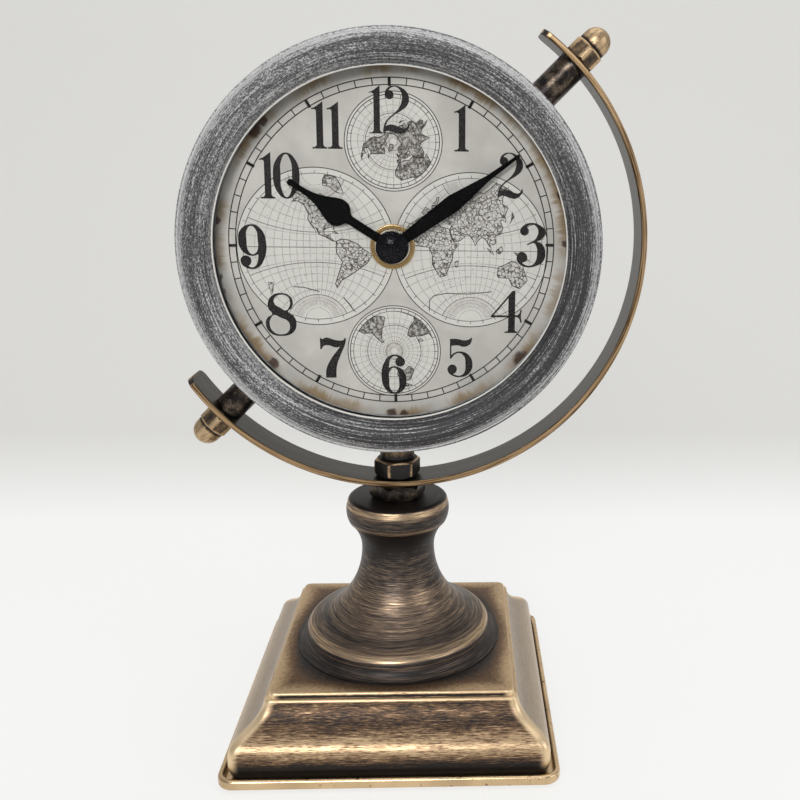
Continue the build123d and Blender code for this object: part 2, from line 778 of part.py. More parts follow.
with BuildPart() as drive_coil:
    cheek_width = 2 * (coil_radius + coil_cheek)
    coil_axis_y = chamber_front + board_thick + cheek_width / 2
    coil_low = head_height + board_up - coil_length / 2
    with BuildSketch(Plane((-board_left, coil_axis_y, coil_low))):
        Circle(coil_radius)
    extrude(amount=coil_length)
    for end in (coil_low, coil_low + coil_length - coil_cheek_thick):
        with BuildSketch(Plane((-board_left, coil_axis_y, end))):
            Rectangle(cheek_width, cheek_width)
        extrude(amount=coil_cheek_thick)
save(drive_coil.part, "drive_coil")

# Minute arbor with its cannon pinion, running in the hour pipe
with BuildPart() as minute_arbor:
    with BuildSketch(dial_plane(lid_front - end_play)):
        Circle(arbor_radius)
    extrude(amount=lid_front - end_play - minute_hand_front)
    with BuildSketch(dial_plane(movement_back_face)):
        Circle(arbor_pivot_radius)
    extrude(amount=movement_lid + end_play)
    with BuildSketch(dial_plane(minute_layer)):
        Polygon(*gear_outline(cannon_teeth, gear_module, 90), align=None)
    extrude(amount=gear_width)
save(minute_arbor.part, "minute_arbor")

# Minute wheel on its post, with the pinion that drives the hour wheel
with BuildPart() as minute_wheel:
    wheel_plane = dial_plane(minute_layer)
    wheel_plane.origin += Vector(0, 0, train_distance)
    with BuildSketch(wheel_plane):
        Polygon(*gear_outline(minute_teeth, gear_module, 270 + 180 / minute_teeth), align=None)
    extrude(amount=gear_width)
    with BuildSketch(wheel_plane.offset(gear_width)):
        Polygon(*gear_outline(pinion_teeth, hour_module, 270), align=None)
    extrude(amount=gear_layer_gap + gear_width)
    with BuildSketch(wheel_plane):
        Circle(wheel_post_radius + running_gap)
    extrude(amount=3 * gear_width + gear_layer_gap, mode=Mode.SUBTRACT)
save(minute_wheel.part, "minute_wheel")

# Hour wheel with its pipe, which runs in the bushing and carries the hour hand
with BuildPart() as hour_wheel:
    with BuildSketch(dial_plane(hour_layer)):
        Polygon(*gear_outline(hour_teeth, hour_module, 90 + 180 / hour_teeth), align=None)
    extrude(amount=gear_width)
    with BuildSketch(dial_plane(hour_layer)):
        Circle(pipe_radius)
    extrude(amount=hour_layer - hour_hand_back + hand_thick)
    with BuildSketch(dial_plane(hour_layer)):
        Circle(pipe_radius - pipe_wall)
    extrude(amount=hour_layer - hour_hand_back + hand_thick, mode=Mode.SUBTRACT)
save(hour_wheel.part, "hour_wheel")

# Setting knob: gear, shaft through the lid, and a grooved thumb wheel behind
with BuildPart() as set_knob:
    knob_plane = dial_plane(minute_layer)
    knob_plane.origin += Vector(0, 0, knob_height)
    shaft_back = movement_back_face + knob_gap
    with BuildSketch(knob_plane):
        Polygon(*gear_outline(setting_teeth, gear_module, 270), align=None)
    extrude(amount=gear_width)
    with BuildSketch(knob_plane.offset(minute_layer - shaft_back)):
        Circle(knob_shaft_radius)
    extrude(amount=shaft_back - minute_layer)
    with BuildSketch(knob_plane.offset(gear_width)):
        Circle(wheel_post_radius)
    extrude(amount=boss_end - chamber_front)
    with BuildSketch(knob_plane.offset(minute_layer - shaft_back - knob_length)):
        Circle(knob_radius)
        with PolarLocations(knob_radius, knob_grooves):
            Circle(knob_groove_radius, mode=Mode.SUBTRACT)
    extrude(amount=knob_length)
save(set_knob.part, "set_knob")

# Hour hand: a bar, a drop-shaped spade and a small ball tip
with BuildPart() as hour_hand:
    with BuildSketch(dial_plane(hour_hand_back, hour_clock_angle)):
        Circle(hand_hub_radius)
        with Locations((0, spade_height / 2)):
            Rectangle(2 * hour_bar_half, spade_height)
        with Locations((0, spade_height)):
            Circle(spade_radius)
        with BuildLine():
            side = TangentArc(
                (spade_radius * 0.94, spade_height + spade_radius * 0.34),
                (spade_neck_half, hour_hand_length - spade_tip_radius), tangent=(-0.34, 0.94),
            )
            mirror(side, about=Plane.YZ)
            Line(side @ 0, (-(side @ 0).X, (side @ 0).Y))
            Line(side @ 1, (-(side @ 1).X, (side @ 1).Y))
        make_face()
        with Locations((0, hour_hand_length - spade_tip_radius)):
            Circle(spade_tip_radius)
        Circle(pipe_radius, mode=Mode.SUBTRACT)
    extrude(amount=hand_thick)
save(hour_hand.part, "hour_hand")

# Minute hand: a long lozenge
with BuildPart() as minute_hand:
    with BuildSketch(dial_plane(minute_hand_back, minute_clock_angle)):
        with BuildLine():
            side = Polyline(
                (minute_root_half, 0), (minute_widest_half, minute_widest), (minute_taper_half, minute_taper),
                (minute_tip_half, minute_hand_length),
            )
            mirror(side, about=Plane.YZ)
            Line((-minute_root_half, 0), (minute_root_half, 0))
            Line((-minute_tip_half, minute_hand_length), (minute_tip_half, minute_hand_length))
        make_face()
        Circle(hand_hub_radius)
        Circle(arbor_radius, mode=Mode.SUBTRACT)
    extrude(amount=hand_thick)
save(minute_hand.part, "minute_hand")

# Domed cap over the end of the minute arbor
with BuildPart() as hand_cap:
    with BuildSketch(head_section):
        cap_edge = minute_hand_front - cap_flange_thick
        flange_radius = cap_radius + cap_flange_overhang
        with BuildLine():
            Polyline((0, minute_hand_front), (flange_radius, minute_hand_front), (flange_radius, cap_edge))
            Line((flange_radius, cap_edge), (cap_radius, cap_edge))
            TangentArc((0, minute_hand_front - cap_height), (cap_radius, cap_edge), tangent=(1, 0))
            Line((0, minute_hand_front - cap_height), (0, minute_hand_front))
        make_face()
    revolve(axis=head_axis)
save(hand_cap.part, "hand_cap")
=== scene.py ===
import bpy
from cmath import phase, rect
from math import sin, cos, tan, pi, radians, sqrt
from mathutils import Vector, Matrix


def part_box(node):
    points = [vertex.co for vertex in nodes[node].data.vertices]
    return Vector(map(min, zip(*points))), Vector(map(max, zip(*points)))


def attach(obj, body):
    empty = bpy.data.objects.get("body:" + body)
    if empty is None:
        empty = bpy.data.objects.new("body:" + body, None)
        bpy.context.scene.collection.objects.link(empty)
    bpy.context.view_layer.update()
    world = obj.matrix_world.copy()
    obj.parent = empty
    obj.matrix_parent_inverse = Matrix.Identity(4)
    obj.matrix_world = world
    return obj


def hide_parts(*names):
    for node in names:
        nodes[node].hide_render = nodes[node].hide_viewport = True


# Table clock in a ring arm: the CAD frame dressed with finishes, a printed dial and finer metalwork
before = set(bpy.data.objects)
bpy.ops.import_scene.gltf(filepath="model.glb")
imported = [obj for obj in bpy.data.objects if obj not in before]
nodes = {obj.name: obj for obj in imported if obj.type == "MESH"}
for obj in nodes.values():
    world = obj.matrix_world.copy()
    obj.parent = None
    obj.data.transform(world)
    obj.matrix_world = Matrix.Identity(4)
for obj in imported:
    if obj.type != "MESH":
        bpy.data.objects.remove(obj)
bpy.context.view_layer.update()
mm = 0.001
perMetre = 1000
weld = 0.000002
headHeight = (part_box("bezel")[0].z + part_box("bezel")[1].z) / 2
headMiddle = Vector((0, 0, headHeight))
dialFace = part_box("dial_paper")[0].y
print("stage: frame loaded, head centre at", round(headHeight, 5))


# small tools used by every piece
def setAll(thing, settings):
    for label, value in settings.items():
        setattr(thing, label, value)


def addObject(name, data, **settings):
    setAll(data, settings)
    piece = bpy.data.objects.new(name, data)
    bpy.context.scene.collection.objects.link(piece)
    return piece


def clearSelection():
    if bpy.context.mode != "OBJECT":
        bpy.ops.object.mode_set(mode="OBJECT")
    bpy.ops.object.select_all(action="DESELECT")


def takeUp(piece):
    clearSelection()
    piece.select_set(True)
    bpy.context.view_layer.objects.active = piece


def freeze(piece, name, finish):
    takeUp(piece)
    bpy.ops.object.transform_apply(location=True, rotation=True, scale=True)
    piece.name = piece.data.name = name
    piece.data.materials.clear()
    piece.data.materials.append(finish)


# one modifier set and applied to the piece that is taken up
def work(piece, kind, **settings):
    setAll(piece.modifiers.new("step", kind), settings)
    bpy.ops.object.modifier_apply(modifier="step")


def easeEdges(piece, width, segments, angle):
    work(piece, "BEVEL", width=width * mm, segments=segments, angle_limit=radians(angle))


def carve(piece, operation, cutter):
    work(piece, "BOOLEAN", operation=operation, object=cutter, solver="EXACT")
    bpy.data.objects.remove(cutter)


# selects vertices by their place, or edges by both ends, and stays in edit mode
def pick(piece, kind, rule):
    bpy.ops.object.mode_set(mode="EDIT")
    bpy.ops.mesh.select_mode(type=kind)
    bpy.ops.mesh.select_all(action="DESELECT")
    bpy.ops.object.mode_set(mode="OBJECT")
    verts = piece.data.vertices
    if kind == "VERT":
        for vert in verts:
            vert.select = rule(vert.co)
    else:
        for edge in piece.data.edges:
            edge.select = rule(*(verts[index].co for index in edge.vertices))
    bpy.ops.object.mode_set(mode="EDIT")


def drawOut(way):
    bpy.ops.mesh.extrude_region_move(TRANSFORM_OT_translate={"value": way})


# new pieces: a plane left selected in edit mode, and a rod
def newPlane(size, spot=(0, 0, 0)):
    clearSelection()
    bpy.ops.mesh.primitive_plane_add(size=size, location=spot)
    bpy.ops.object.transform_apply(location=True)
    bpy.ops.object.mode_set(mode="EDIT")
    return bpy.context.active_object


def newRod(sides, radius, depth, spot=(0, 0, 0), turn=(0, 0, 0)):
    clearSelection()
    bpy.ops.mesh.primitive_cylinder_add(vertices=sides, radius=radius, depth=depth, location=spot, rotation=turn)
    return bpy.context.active_object


def closeMesh(piece, angle=35):
    bpy.ops.object.mode_set(mode="EDIT")
    bpy.ops.mesh.select_mode(type="VERT")
    bpy.ops.mesh.select_all(action="SELECT")
    bpy.ops.mesh.remove_doubles(threshold=weld)
    bpy.ops.mesh.normals_make_consistent(inside=False)
    bpy.ops.object.mode_set(mode="OBJECT")
    bpy.ops.object.shade_smooth_by_angle(angle=radians(angle))


# a line drawn point by point from one vertex, left selected in edit mode
def traceLine(points):
    piece = newPlane(mm, points[0])
    bpy.ops.mesh.merge(type="CENTER")
    for here, there in zip(points, points[1:]):
        drawOut(Vector(there) - Vector(here))
    bpy.ops.mesh.select_all(action="SELECT")
    return piece


def spinProfile(points, centre, axis, steps):
    piece = traceLine(points)
    bpy.ops.mesh.spin(steps=steps, angle=2 * pi, center=centre, axis=axis)
    closeMesh(piece)
    return piece


# points of an arc through three points of a flat profile
def arcThrough(start, middle, end, count):
    a, b, c = (complex(*spot) for spot in (start, middle, end))
    ratio = (c - a) / (b - a)
    centre = a + (b - a) * (ratio - abs(ratio) ** 2) / (2j * ratio.imag)
    first, through, last = (phase(spot - centre) for spot in (a, b, c))
    sweep = (last - first) % (2 * pi)
    if (through - first) % (2 * pi) > sweep:
        sweep -= 2 * pi
    spots = [centre + rect(abs(a - centre), first + sweep * step / count) for step in range(count + 1)]
    return [(spot.real, spot.imag) for spot in spots]


# node tools: a reading is a node's output that can be reckoned with like a number
def feed(value, socket):
    if isinstance(value, nodeReading):
        value.tree.links.new(value.socket, socket)
    else:
        socket.default_value = value


# the outputs of a node, by number and by name
def readAll(tree, node):
    return {label: nodeReading(tree, socket) for label, socket in [*enumerate(node.outputs), *node.outputs.items()]}


def newNode(kind, takes, **settings):
    tree = next(value.tree for value in takes.values() if isinstance(value, nodeReading))
    node = tree.nodes.new("ShaderNode" + kind)
    setAll(node, settings)
    for label, value in takes.items():
        feed(value, node.inputs[label])
    return readAll(tree, node)


def reckon(operation, *values):
    return newNode("Math", dict(enumerate(values)), operation=operation)[0]


def combine(*values):
    return newNode("CombineXYZ", dict(enumerate(values)))[0]


def blend(share, first, second, mode="MIX"):
    first, second = ((*value, 1) if isinstance(value, tuple) else value for value in (first, second))
    return newNode("Mix", {0: share, 6: first, 7: second}, data_type="RGBA", blend_type=mode)[2]


class nodeReading:
    def __init__(self, tree, socket):
        self.tree, self.socket = tree, socket

    def __add__(self, other):
        return reckon("ADD", self, other)

    def __sub__(self, other):
        return reckon("SUBTRACT", self, other)

    def __rsub__(self, other):
        return reckon("SUBTRACT", other, self)

    def __mul__(self, other):
        return reckon("MULTIPLY", self, other)

    def __truediv__(self, other):
        return reckon("DIVIDE", self, other)

    def __abs__(self):
        return reckon("ABSOLUTE", self)

    def most(self, other):
        return reckon("MAXIMUM", self, other)

    def above(self, other):
        return reckon("GREATER_THAN", self, other)

    def fade(self, start, end):  # smooth 0 to 1 between two readings
        return newNode("MapRange", {0: self, 1: start, 2: end}, interpolation_type="SMOOTHSTEP")[0]

    def between(self, first, second):  # a number from first to second by this share
        return newNode("Mix", {0: self, 2: first, 3: second})[0]

    def split(self):
        parts = newNode("SeparateXYZ", {0: self})
        return parts[0], parts[1], parts[2]

    def stretched(self, scale, turn=(0, 0, 0), shift=(0, 0, 0)):
        return newNode("Mapping", {"Vector": self, "Scale": scale, "Rotation": turn, "Location": shift})[0]

    def noise(self, scale, detail=3.0, rough=0.55, depth=None):
        takes = {"Vector": self, "Scale": scale, "Detail": detail, "Roughness": rough}
        if depth is None:
            return newNode("TexNoise", takes)["Fac"]
        return newNode("TexNoise", {**takes, "W": depth}, noise_dimensions="4D")["Fac"]

    def grain(self, size):
        return useGroup(fineGrain, Place=self, Size=size)

    def ramp(self, stops):
        node = self.tree.nodes.new("ShaderNodeValToRGB")
        feed(self, node.inputs[0])
        marks = node.color_ramp.elements
        while len(marks) < len(stops):
            marks.new(0.5)
        for mark, (place, colour) in zip(marks, stops):
            mark.position = place
        for mark, (place, colour) in zip(marks, stops):
            mark.color = (*colour, 1) if isinstance(colour, tuple) else (colour, colour, colour, 1)
        return nodeReading(self.tree, node.outputs[0])


def newGroup(name, takes, gives):
    group = bpy.data.node_groups.new(name, "ShaderNodeTree")
    for label, kind, value in takes:
        socket = group.interface.new_socket(label, in_out="INPUT", socket_type="NodeSocket" + kind)
        if value is not None:
            socket.default_value = value
    for label, kind in gives:
        group.interface.new_socket(label, in_out="OUTPUT", socket_type="NodeSocket" + kind)
    given = readAll(group, group.nodes.new("NodeGroupInput"))
    return group, given, group.nodes.new("NodeGroupOutput").inputs


def useGroup(group, **takes):
    return newNode("Group", takes, node_tree=group)


def newFinish(name, metallic=0.0, roughness=0.5, specular=0.5):
    finish = bpy.data.materials.new(name)
    finish.use_nodes = True
    tree = finish.node_tree
    sockets = tree.nodes["Principled BSDF"].inputs
    wear(sockets, rough=roughness, metal=metallic)
    sockets["Specular IOR Level"].default_value = specular
    return finish, sockets, readAll(tree, tree.nodes.new("ShaderNodeTexCoord"))["Object"]


def wear(sockets, colour=None, rough=None, metal=None):
    for label, value in (("Base Color", colour), ("Roughness", rough), ("Metallic", metal)):
        if value is not None:
            feed(value, sockets[label])


def addBump(sockets, height, strength, distance):
    bump = newNode("Bump", {"Strength": strength, "Distance": distance * mm, "Height": height})[0]
    feed(bump, sockets["Normal"])


# another shader mixed over a finish's own, by a share of the rays
def overlay(finish, share, other):
    tree = finish.node_tree
    mixer = tree.nodes.new("ShaderNodeMixShader")
    feed(share, mixer.inputs[0])
    tree.links.new(tree.nodes["Principled BSDF"].outputs[0], mixer.inputs[1])
    tree.links.new(other.outputs[0], mixer.inputs[2])
    tree.links.new(mixer.outputs[0], tree.nodes["Material Output"].inputs["Surface"])


# turnedPlace: reads round an upright axis, so strokes run round a lathe-turned piece with no seam
turnedPlace, given, result = newGroup(
    "turnedPlace", [("Place", "Vector", None)], [("Strokes", "Vector"), ("Radius", "Float"), ("Height", "Float")])
x, y, z = given["Place"].split()
radiusNow = reckon("SQRT", x * x + y * y).most(0.00001)
heightNow = z * perMetre
feed(combine(x / radiusNow, y / radiusNow, heightNow), result["Strokes"])
feed(radiusNow * perMetre, result["Radius"])
feed(heightNow, result["Height"])

# brushMarks: strokes that run along X and Y and change quickly along Z and depth, in millimetres
brushMarks, given, result = newGroup(
    "brushMarks", [("Strokes", "Vector", None), ("Depth", "Float", 0.0)],
    [("Hairs", "Float"), ("Strokes", "Float"), ("Patches", "Float")])
for label, along, across, detail in (
    ("Hairs", 6.0, 3.2, 2.0), ("Strokes", 2.2, 1.7, 5.0), ("Patches", 1.3, 0.2, 3.0)
):
    spread = given["Strokes"].stretched((along, along, across))
    feed(spread.noise(1.0, detail, 0.6, given["Depth"] * across), result[label])

# wornMetal: from dark patina to rubbed metal, by how far the metal is laid bare
wornMetal, given, result = newGroup(
    "wornMetal",
    [("Bare", "Float", 0.5), ("Patina", "Color", (0.012, 0.009, 0.008, 1)),
     ("Middle", "Color", (0.15, 0.102, 0.072, 1)), ("Metal", "Color", (0.62, 0.445, 0.265, 1))],
    [("Colour", "Color"), ("Roughness", "Float"), ("Metallic", "Float")])
low, high = given["Bare"].fade(0.08, 0.55), given["Bare"].fade(0.42, 0.92)
feed(blend(high, blend(low, given["Patina"], given["Middle"]), given["Metal"]), result["Colour"])
feed(high * -0.12 + 0.44, result["Roughness"])
feed(low * 0.55 + 0.45, result["Metallic"])

# fineGrain: speckle and cloudy tone for plastics, card and plated parts
fineGrain, given, result = newGroup(
    "fineGrain", [("Place", "Vector", None), ("Size", "Float", 2500.0)], [("Speckle", "Float"), ("Cloud", "Float")])
feed(given["Place"].noise(given["Size"], 2.0, 0.5), result["Speckle"])
feed(given["Place"].noise(60.0), result["Cloud"])
print("stage: node groups made")


# how bare the metal is at each level
def wearBands(level, bands):
    return level.ramp(bands) * 1.15 - 0.12


# each kind of brush mark added by its weight
def brushed(bare, marks, **weights):
    for label, weight in weights.items():
        bare = bare + (marks[label] - 0.5) * weight
    return bare


# readings round the axis of a turned piece, by default the head's
def turnedRound(place, turn=(pi / 2, 0, 0), shift=(0, headHeight, 0)):
    return useGroup(turnedPlace, Place=place.stretched((1, 1, 1), turn, shift))


# antique bronze on the spun stem: bare on bead, ridge and skirt, brightened there to stand in for their highlights
# too; dark in the hollows, with painted shade in the neck under the collar and under the skirt's ridge
def stemFinish():
    # bands by height: painted shade as well as patina darkens the cove under the ridge and the neck under the collar;
    # the ridge and bead bands are rubbed metal that also stand in for their highlights
    stemBronze = {"foot": 28.39, "height": 58.3, "bands": (
        (0.0, 0.22), (0.03, 0.20), (0.06, 0.22), (0.078, 0.46), (0.086, 0.12), (0.098, 0.34), (0.108, 0.72),
        (0.124, 0.74), (0.145, 0.46), (0.17, 0.32), (0.233, 0.46), (0.371, 0.52), (0.48, 0.36), (0.60, 0.25),
        (0.69, 0.12), (0.76, 0.0), (0.83, 0.0), (0.839, 0.58), (0.849, 0.55), (0.87, 0.25), (0.92, 0.26),
        (0.944, 0.45), (0.956, 0.68), (0.984, 0.66), (0.991, 0.1), (0.998, 0.0))}
    finish, sockets, place = newFinish("antiqueBronzeStem")
    turned = useGroup(turnedPlace, Place=place)
    marks = useGroup(brushMarks, Strokes=turned["Strokes"].stretched((0.7, 0.7, 1.4)), Depth=turned["Radius"] * 1.4)
    worn = wearBands((turned["Height"] - stemBronze["foot"]) / stemBronze["height"], stemBronze["bands"])
    bare = brushed(worn, marks, Strokes=1.2, Patches=0.5, Hairs=1.2)
    coat = useGroup(wornMetal, Bare=bare, Middle=(0.19, 0.138, 0.103, 1))
    wear(sockets, coat["Colour"], coat["Roughness"], coat["Metallic"])
    addBump(sockets, marks["Hairs"], 0.3, 0.08)
    return finish


# the same bronze on the pressed base: strokes along each flank, smooth rubbed hips with a painted highlight, painted
# shade round the stem foot and at the flanks' foot, a painted reflection on the side flanks
def shellFinish():
    # bands by height: painted shade darkens the flanks' foot, where they curl in towards the tray
    shellBronze = {"foot": 2.2, "rise": 26.19, "stemFootShade": (37.5, 50.0), "hip": (0.6, 4.6), "top": 0.995, "bands": (
        (0.0, -0.1), (0.12, -0.1), (0.19, 0.06), (0.25, 0.32), (0.31, 0.52), (0.37, 0.68), (0.43, 0.76), (0.48, 0.76),
        (0.53, 0.70), (0.58, 0.48), (0.66, 0.34), (0.74, 0.38), (0.82, 0.40), (0.88, 0.40), (0.897, 0.92),
        (0.925, 0.95), (0.932, 0.05), (0.955, 0.02), (0.970, 0.85), (0.99, 0.95)),
        "middle": (0.185, 0.112, 0.066, 1), "sideReflection": (0.50, 0.46, 0.415), "hipHighlight": (0.90, 0.69, 0.43)}
    finish, sockets, place = newFinish("antiqueBronzeShell")
    x, y, high = place.stretched((perMetre, perMetre, perMetre)).split()
    acrossX, acrossY = abs(x), abs(y)
    reach = acrossX.most(acrossY)
    sideFlank = acrossX.above(acrossY)
    strokes = combine(sideFlank.between(x, y) / 14.0, sideFlank, high * 1.5)
    marks = useGroup(brushMarks, Strokes=strokes, Depth=reach * 1.5)
    level = (high - shellBronze["foot"]) / shellBronze["rise"]
    worn = wearBands(level, shellBronze["bands"])
    bare = brushed(worn, marks, Strokes=1.25, Patches=0.6, Hairs=1.4)
    # painted reflection: the flanks facing sideways are made lighter and greyer, as if mirroring the pale room
    sideFlank = sideFlank * (1.0 - level.fade(0.87, 0.90))
    bare = (sideFlank * 0.75).between(bare, worn * 0.22 + 0.66)
    # hips: rubbed bare metal, which also carries a painted highlight of pale gold
    hipRubAndHighlight = (1.0 - abs(acrossX - acrossY).fade(*shellBronze["hip"])) * level.fade(0.09, 0.2)
    bare = hipRubAndHighlight.between(bare, (marks["Strokes"] - 0.5) * 0.4 + 1.0)
    # painted shade: the plateau darkens towards the stem foot, where the stem shades it
    stemFootShade = useGroup(turnedPlace, Place=place)["Radius"].fade(*shellBronze["stemFootShade"])
    soft = place.stretched((900, 900, 900)).noise(1.0, 3.0, 0.6)
    plain = stemFootShade * 0.34 + 0.06 + reach.fade(34.0, 44.5) * 0.44 + (soft - 0.5) * 0.4
    onTop = level.above(shellBronze["top"])
    coat = useGroup(wornMetal, Bare=onTop.between(bare, plain), Middle=shellBronze["middle"])
    # painted reflection: pale grey blended over the side flanks
    tone = blend(sideFlank * 0.5, coat["Colour"], shellBronze["sideReflection"])
    # painted highlight: pale gold over the rubbed hips
    tone = blend(hipRubAndHighlight * (1.0 - onTop) * 0.8, tone, shellBronze["hipHighlight"])
    wear(sockets, tone, coat["Roughness"] + 0.06, coat["Metallic"])
    addBump(sockets, marks["Hairs"], 0.3, 0.08)
    return finish


# polished brass of the tray's rolled rim
def rimFinish():
    finish, sockets, place = newFinish("rimBrass", 1.0)
    grain = place.grain(400.0)
    tone = grain["Cloud"].ramp(((0.3, (0.52, 0.37, 0.215)), (0.6, (0.70, 0.51, 0.30))))
    wear(sockets, blend(grain["Speckle"].fade(0.62, 0.75), tone, (0.10, 0.06, 0.03)), grain["Cloud"] * 0.25 + 0.14)
    return finish


# arm strip: gold edges, darkened towards their eased corners as painted shade, satin grey-brown faces, fine scratches
# along the bend
def armFinish():
    armBronze = {
        "ends": ((415.1, 1), (213.5, -1)), "edge": (7.5, 7.9), "sheet": (89.4, 91.9),
        "face": ((0.36, (0.025, 0.022, 0.019)), (0.5, (0.066, 0.059, 0.052)), (0.66, (0.135, 0.121, 0.106))),
        "gold": ((0.40, (0.04, 0.023, 0.012)), (0.46, (0.23, 0.145, 0.075)), (0.56, (0.46, 0.31, 0.17)),
                 (0.66, (0.60, 0.42, 0.245))),
        "edgeCornerShade": ((0.0, 0.3), (0.12, 0.55), (0.25, 1.0), (0.88, 1.0), (1.0, 0.65))}
    finish, sockets, place = newFinish("armBronze", 1.0)
    turned = turnedRound(place)
    marks = useGroup(brushMarks, Strokes=turned["Strokes"], Depth=turned["Radius"])
    edge = abs(turned["Height"]).fade(*armBronze["edge"])
    x, y, z = place.stretched((perMetre, perMetre, perMetre), shift=(0, 0, -perMetre * headHeight)).split()
    for degrees, way in armBronze["ends"]:
        end = radians(degrees)
        ahead = x * (-sin(end) * way) + z * (cos(end) * way)
        outward = x * cos(end) + z * sin(end)
        edge = edge.most(ahead.fade(-0.7, -0.2) * outward.fade(10.0, 20.0))
    scratch = marks["Hairs"] * 0.5 + marks["Strokes"] * 0.5
    # painted shade: the gold edge darkens towards both eased corners
    edgeCornerShade = turned["Radius"].fade(*armBronze["sheet"]).ramp(armBronze["edgeCornerShade"])
    gold = blend(1.0, scratch.ramp(armBronze["gold"]), edgeCornerShade, "MULTIPLY")
    wear(sockets, blend(edge, scratch.ramp(armBronze["face"]), gold), scratch * 0.2 + 0.26)
    addBump(sockets, marks["Hairs"], 0.2, 0.06)
    return finish


# blackened bronze of spacers and jam nut: cloudy brown showing through the black, by the given share
def blackBronzeFinish(name, share):
    finish, sockets, place = newFinish(name, 0.8)
    grain = place.grain(1900.0)
    cloud = place.noise(260.0, 3.0, 0.6)
    bare = (grain["Speckle"].fade(0.4, 0.75) * 0.6 + 0.25) * cloud.fade(0.38, 0.68)
    wear(sockets, blend(bare * share, (0.014, 0.011, 0.010), (0.25, 0.185, 0.13)), cloud * -0.2 + 0.42)
    addBump(sockets, grain["Speckle"], 0.25, 0.08)
    return finish


# a nut's own frame: seat, axis and the way to one corner
def nutFrame(nut):
    ways = Matrix((nut["side"], nut["axis"].cross(nut["side"]), nut["axis"])).transposed()
    return Matrix.Translation(nut["seat"]) @ ways.to_4x4()


# antique brass of a domed nut, read in the nut's own frame: brass corners round dark flats, streaks over the dome,
# painted shade at the dome's foot
def nutFinish(name, nut):
    finish, sockets, place = newFinish(name)
    back = nutFrame(nut).inverted()
    turned = turnedRound(place, back.to_euler(), back.to_translation())
    grain = place.grain(1300.0)
    streak = turned["Strokes"].stretched((3.2, 3.2, 0.16)).noise(1.0, 4.0, 0.65)
    high, top = turned["Height"], nut["hex"]
    corner = turned["Radius"].fade(nut["flats"] * nut["edge"], nut["flats"] * (nut["edge"] + 0.04))
    hexPart = 1.0 - high.fade(top - 0.2, top + 0.2)
    brim = high.fade(top - 1.2, top - 0.5) * hexPart
    hexBare = corner.most(brim) * (nut["rub"] - nut["flat"]) + nut["flat"]
    # painted shade: the dome darkens just above the hex, where it meets the nut
    domeBare = (1.0 - high.fade(top + 0.2, top + nut["shade"])) * -0.7 + nut["bare"]
    bare = hexPart.between(domeBare, hexBare) + (streak - 0.5) * 1.1 + (grain["Speckle"] - 0.5) * 0.5
    coat = useGroup(wornMetal, Bare=bare, Metal=(0.54, 0.385, 0.225, 1), Middle=(0.16, 0.108, 0.066, 1))
    wear(sockets, coat["Colour"], coat["Roughness"] + 0.06, coat["Metallic"])
    addBump(sockets, grain["Speckle"], 0.2, 0.08)
    return finish


# brushed antique silver of bezel and drum, with painted shading across the roll, painted highlights at the left,
# painted shade at the lower right and a painted highlight on the inner lip
def silverFinish(name, rollShading, roll):
    silver = {"Metal": (0.50, 0.497, 0.488, 1), "Middle": (0.108, 0.105, 0.106, 1), "Patina": (0.024, 0.022, 0.024, 1)}
    finish, sockets, place = newFinish(name)
    turned = turnedRound(place)
    strokes, radius = turned["Strokes"], turned["Radius"]
    marks = useGroup(brushMarks, Strokes=strokes.stretched((16, 16, 0.95)), Depth=radius * 0.95)
    arcs = strokes.stretched((2.0, 2.0, 1.6)).noise(1.0, 3.0, 0.6, radius * 2.2)
    x, y, high = strokes.split()
    lowerRight = (x * 0.6 + y * 0.8).fade(0.1, 0.9)
    # painted highlights: lighter at the left diagonals of the ring
    leftHighlights = (x * -1.0).most(0.0) * abs(y)
    # painted shade: the lower right of the roll is made darker
    shaded = lowerRight * (1.0 - radius.fade(68.2, 71.2))
    bare = brushed(radius.fade(*roll).ramp(rollShading), marks, Strokes=0.6, Hairs=1.9)
    bare = bare + (arcs - 0.5) * (lowerRight * 1.8 + 1.6) + leftHighlights * 0.2 - shaded * 0.28
    coat = useGroup(wornMetal, Bare=bare, **silver)
    # painted highlight: the inner lip is coloured pale warm grey
    lip = 1.0 - radius.fade(roll[0] + 0.28, roll[0] + 0.45)
    tone = blend(lip, coat["Colour"], (0.72, 0.70, 0.65))
    wear(sockets, tone, coat["Roughness"] * 0.8 + 0.24, coat["Metallic"] * 0.25)
    addBump(sockets, marks["Hairs"], 0.1, 0.08)
    return finish


